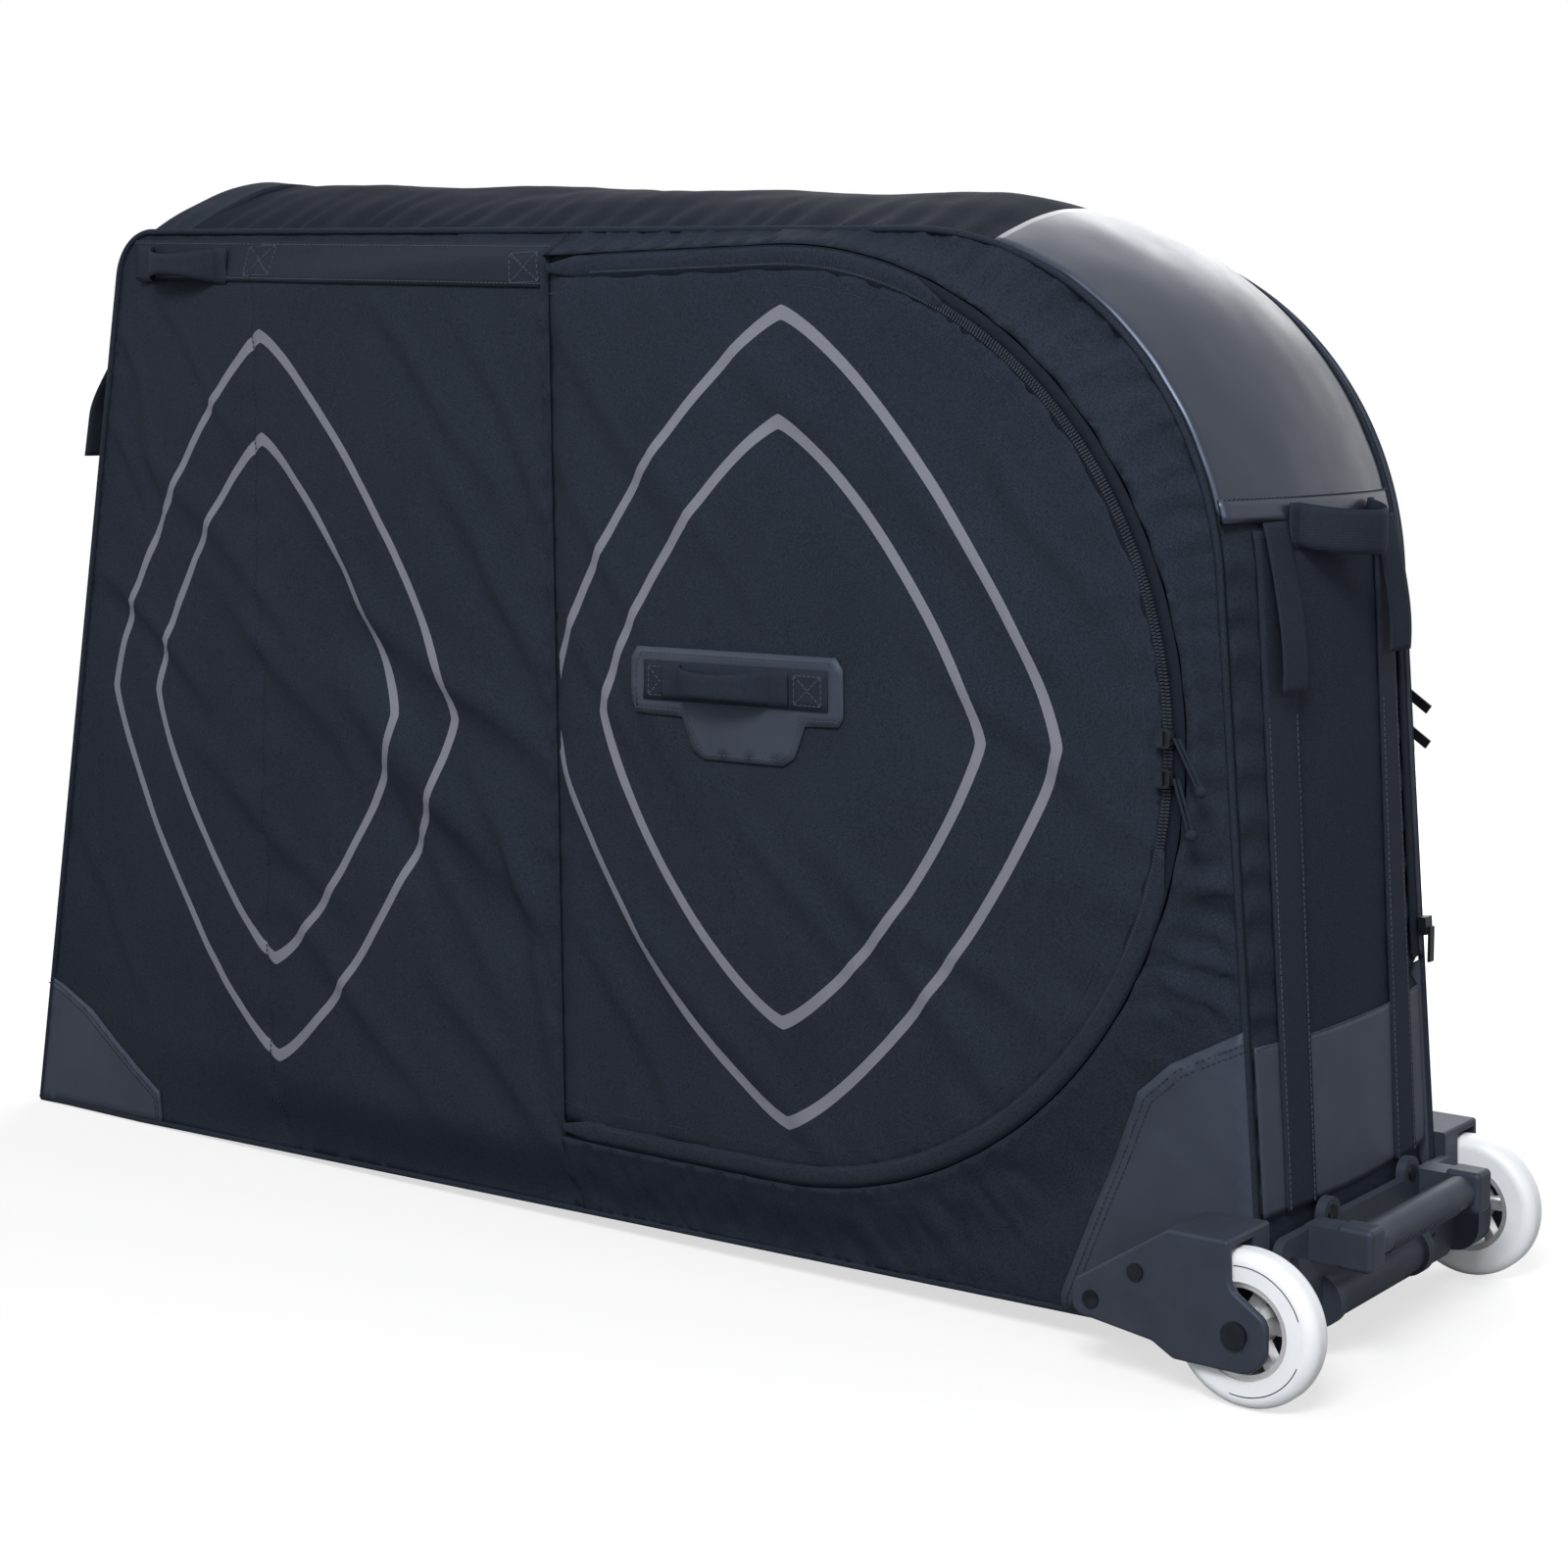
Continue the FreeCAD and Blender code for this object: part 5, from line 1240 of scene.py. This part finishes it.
def foam_block():
    """The padded block that the bicycle's frame stands on, grooved along its top."""
    xs = np.linspace(-90, 210, 25)
    rows = [[(x, y, base_z(x) + FOAM_LOW + up) for y, up in FOAM_SECTION] for x in xs]
    return closed_tube(np.array(rows))


pad = make("frame_pad_cover", *foam_block(), FOAM, "case", ["frame_pad"], "foam")


# Thin dark arcs on the wheels
def wheel_arcs(side, sign):
    slabs = []
    for first in (20, 140, 260):
        turns = np.radians(np.linspace(first, first + 78, 40))
        path = [(WHEEL_X + WHEEL_LINE_R * math.cos(a), WHEEL_Z + WHEEL_LINE_R * math.sin(a)) for a in turns]
        slabs.append(surface_strip(path, 0.7, level(WHEEL_FACE), 0.12, 0.4, sign, step=2, columns=2))
    small_pieces(f"{side}_wheel_lines", slabs, INK, f"{side}_wheel", "tyre_white")


for side, sign, _ in SIDES:
    wheel_arcs(side, sign)


# Camera, light and floor
AZIMUTH, PITCH, ROLL = (math.radians(a) for a in (37.737, 7.973, -0.4457))
back = Vector((math.sin(AZIMUTH) * math.cos(PITCH), -math.cos(AZIMUTH) * math.cos(PITCH), math.sin(PITCH)))
right = Vector((math.cos(AZIMUTH), math.sin(AZIMUTH), 0))
up = back.cross(right)
axis_u = math.cos(ROLL) * right + math.sin(ROLL) * up
axis_v = math.cos(ROLL) * up - math.sin(ROLL) * right
lens = bpy.data.cameras.new("photo_camera")
lens.lens = 63.43
lens.sensor_width = 36
lens.shift_x = -0.0037
lens.shift_y = 0.0019
camera = bpy.data.objects.new("photo_camera", lens)
camera.matrix_world = Matrix.Translation((1.44988, -1.71834, 0.65092)) @ Matrix(
    (axis_u, axis_v, back)).transposed().to_4x4()
bpy.context.scene.collection.objects.link(camera)
bpy.context.scene.camera = camera


def area_light(name, place, aim, size, power, gloss=True):
    made = bpy.data.lights.new(name, "AREA")
    made.shape = "RECTANGLE"
    made.size, made.size_y = size
    made.energy = power
    lamp = bpy.data.objects.new(name, made)
    lamp.location = place
    lamp.visible_glossy = gloss
    lamp.rotation_euler = (Vector(aim) - Vector(place)).to_track_quat("-Z", "Y").to_euler()
    bpy.context.scene.collection.objects.link(lamp)


area_light("key_light", (1.5, -2.6, 2.7), (0, 0, 0.4), (1.3, 1.0), 135)
area_light("left_light", (-2.6, -2.0, 1.8), (-0.3, 0, 0.4), (1.4, 1.4), 22)
area_light("end_light", (2.7, -1.9, 1.1), (0.5, 0, 0.4), (1.2, 1.2), 20)
area_light("top_light", (0.2, 0.3, 3.2), (0.1, 0, 0.4), (2.4, 1.4), 8)
area_light("back_light", (-1.2, 3.0, 2.4), (0, 0, 0.4), (2.6, 1.8), 50)
area_light("far_light", (0.2, 3.1, 1.0), (0, 0.1, 0.4), (1.6, 1.2), 60, gloss=False)

world = bpy.data.worlds.new("studio")
world.use_nodes = True
bpy.context.scene.world = world
tree = world.node_tree
glow = tree.nodes["Background"]
glow.inputs["Color"].default_value = (1, 1, 1, 1)
rays = tree.nodes.new("ShaderNodeLightPath")
seen = maths(tree, "ADD", rays.outputs["Is Camera Ray"], rays.outputs["Is Transmission Ray"])
seen = maths(tree, "MINIMUM", maths(tree, "ADD", seen, rays.outputs["Is Glossy Ray"]), 1.0)
link(tree, maths(tree, "ADD", maths(tree, "MULTIPLY", seen, 0.68), 0.32), glow.inputs["Strength"])

floor_mesh = bpy.data.meshes.new("studio_floor")
floor_mesh.from_pydata([(-3, -3, 0), (3, -3, 0), (3, 3, 0), (-3, 3, 0)], [], [(0, 1, 2, 3)])
floor = bpy.data.objects.new("studio_floor", floor_mesh)
floor.location.z = -0.0006
floor_look, floor_tree, floor_main, floor_place = shader("pale_floor", (0.3, 0.3, 0.3), 0.9, shine=0.0)
away = floor_tree.nodes.new("ShaderNodeVectorMath")
away.operation = "LENGTH"
link(floor_tree, floor_place, away.inputs[0])
pale = maths(floor_tree, "MULTIPLY", maths(floor_tree, "SUBTRACT", away.outputs["Value"], 0.7), 0.4)
pale = maths(floor_tree, "MINIMUM", maths(floor_tree, "MAXIMUM", pale, 0), 0.34)
pale = maths(floor_tree, "ADD", pale, 0.66)
looked_at = floor_tree.nodes.new("ShaderNodeLightPath").outputs["Is Camera Ray"]
floor_main.inputs["Emission Color"].default_value = (1, 1, 1, 1)
link(floor_tree, maths(floor_tree, "MULTIPLY", pale, looked_at), floor_main.inputs["Emission Strength"])
floor_mesh.materials.append(floor_look)
bpy.context.scene.collection.objects.link(floor)

bpy.context.scene.view_settings.view_transform = "Standard"
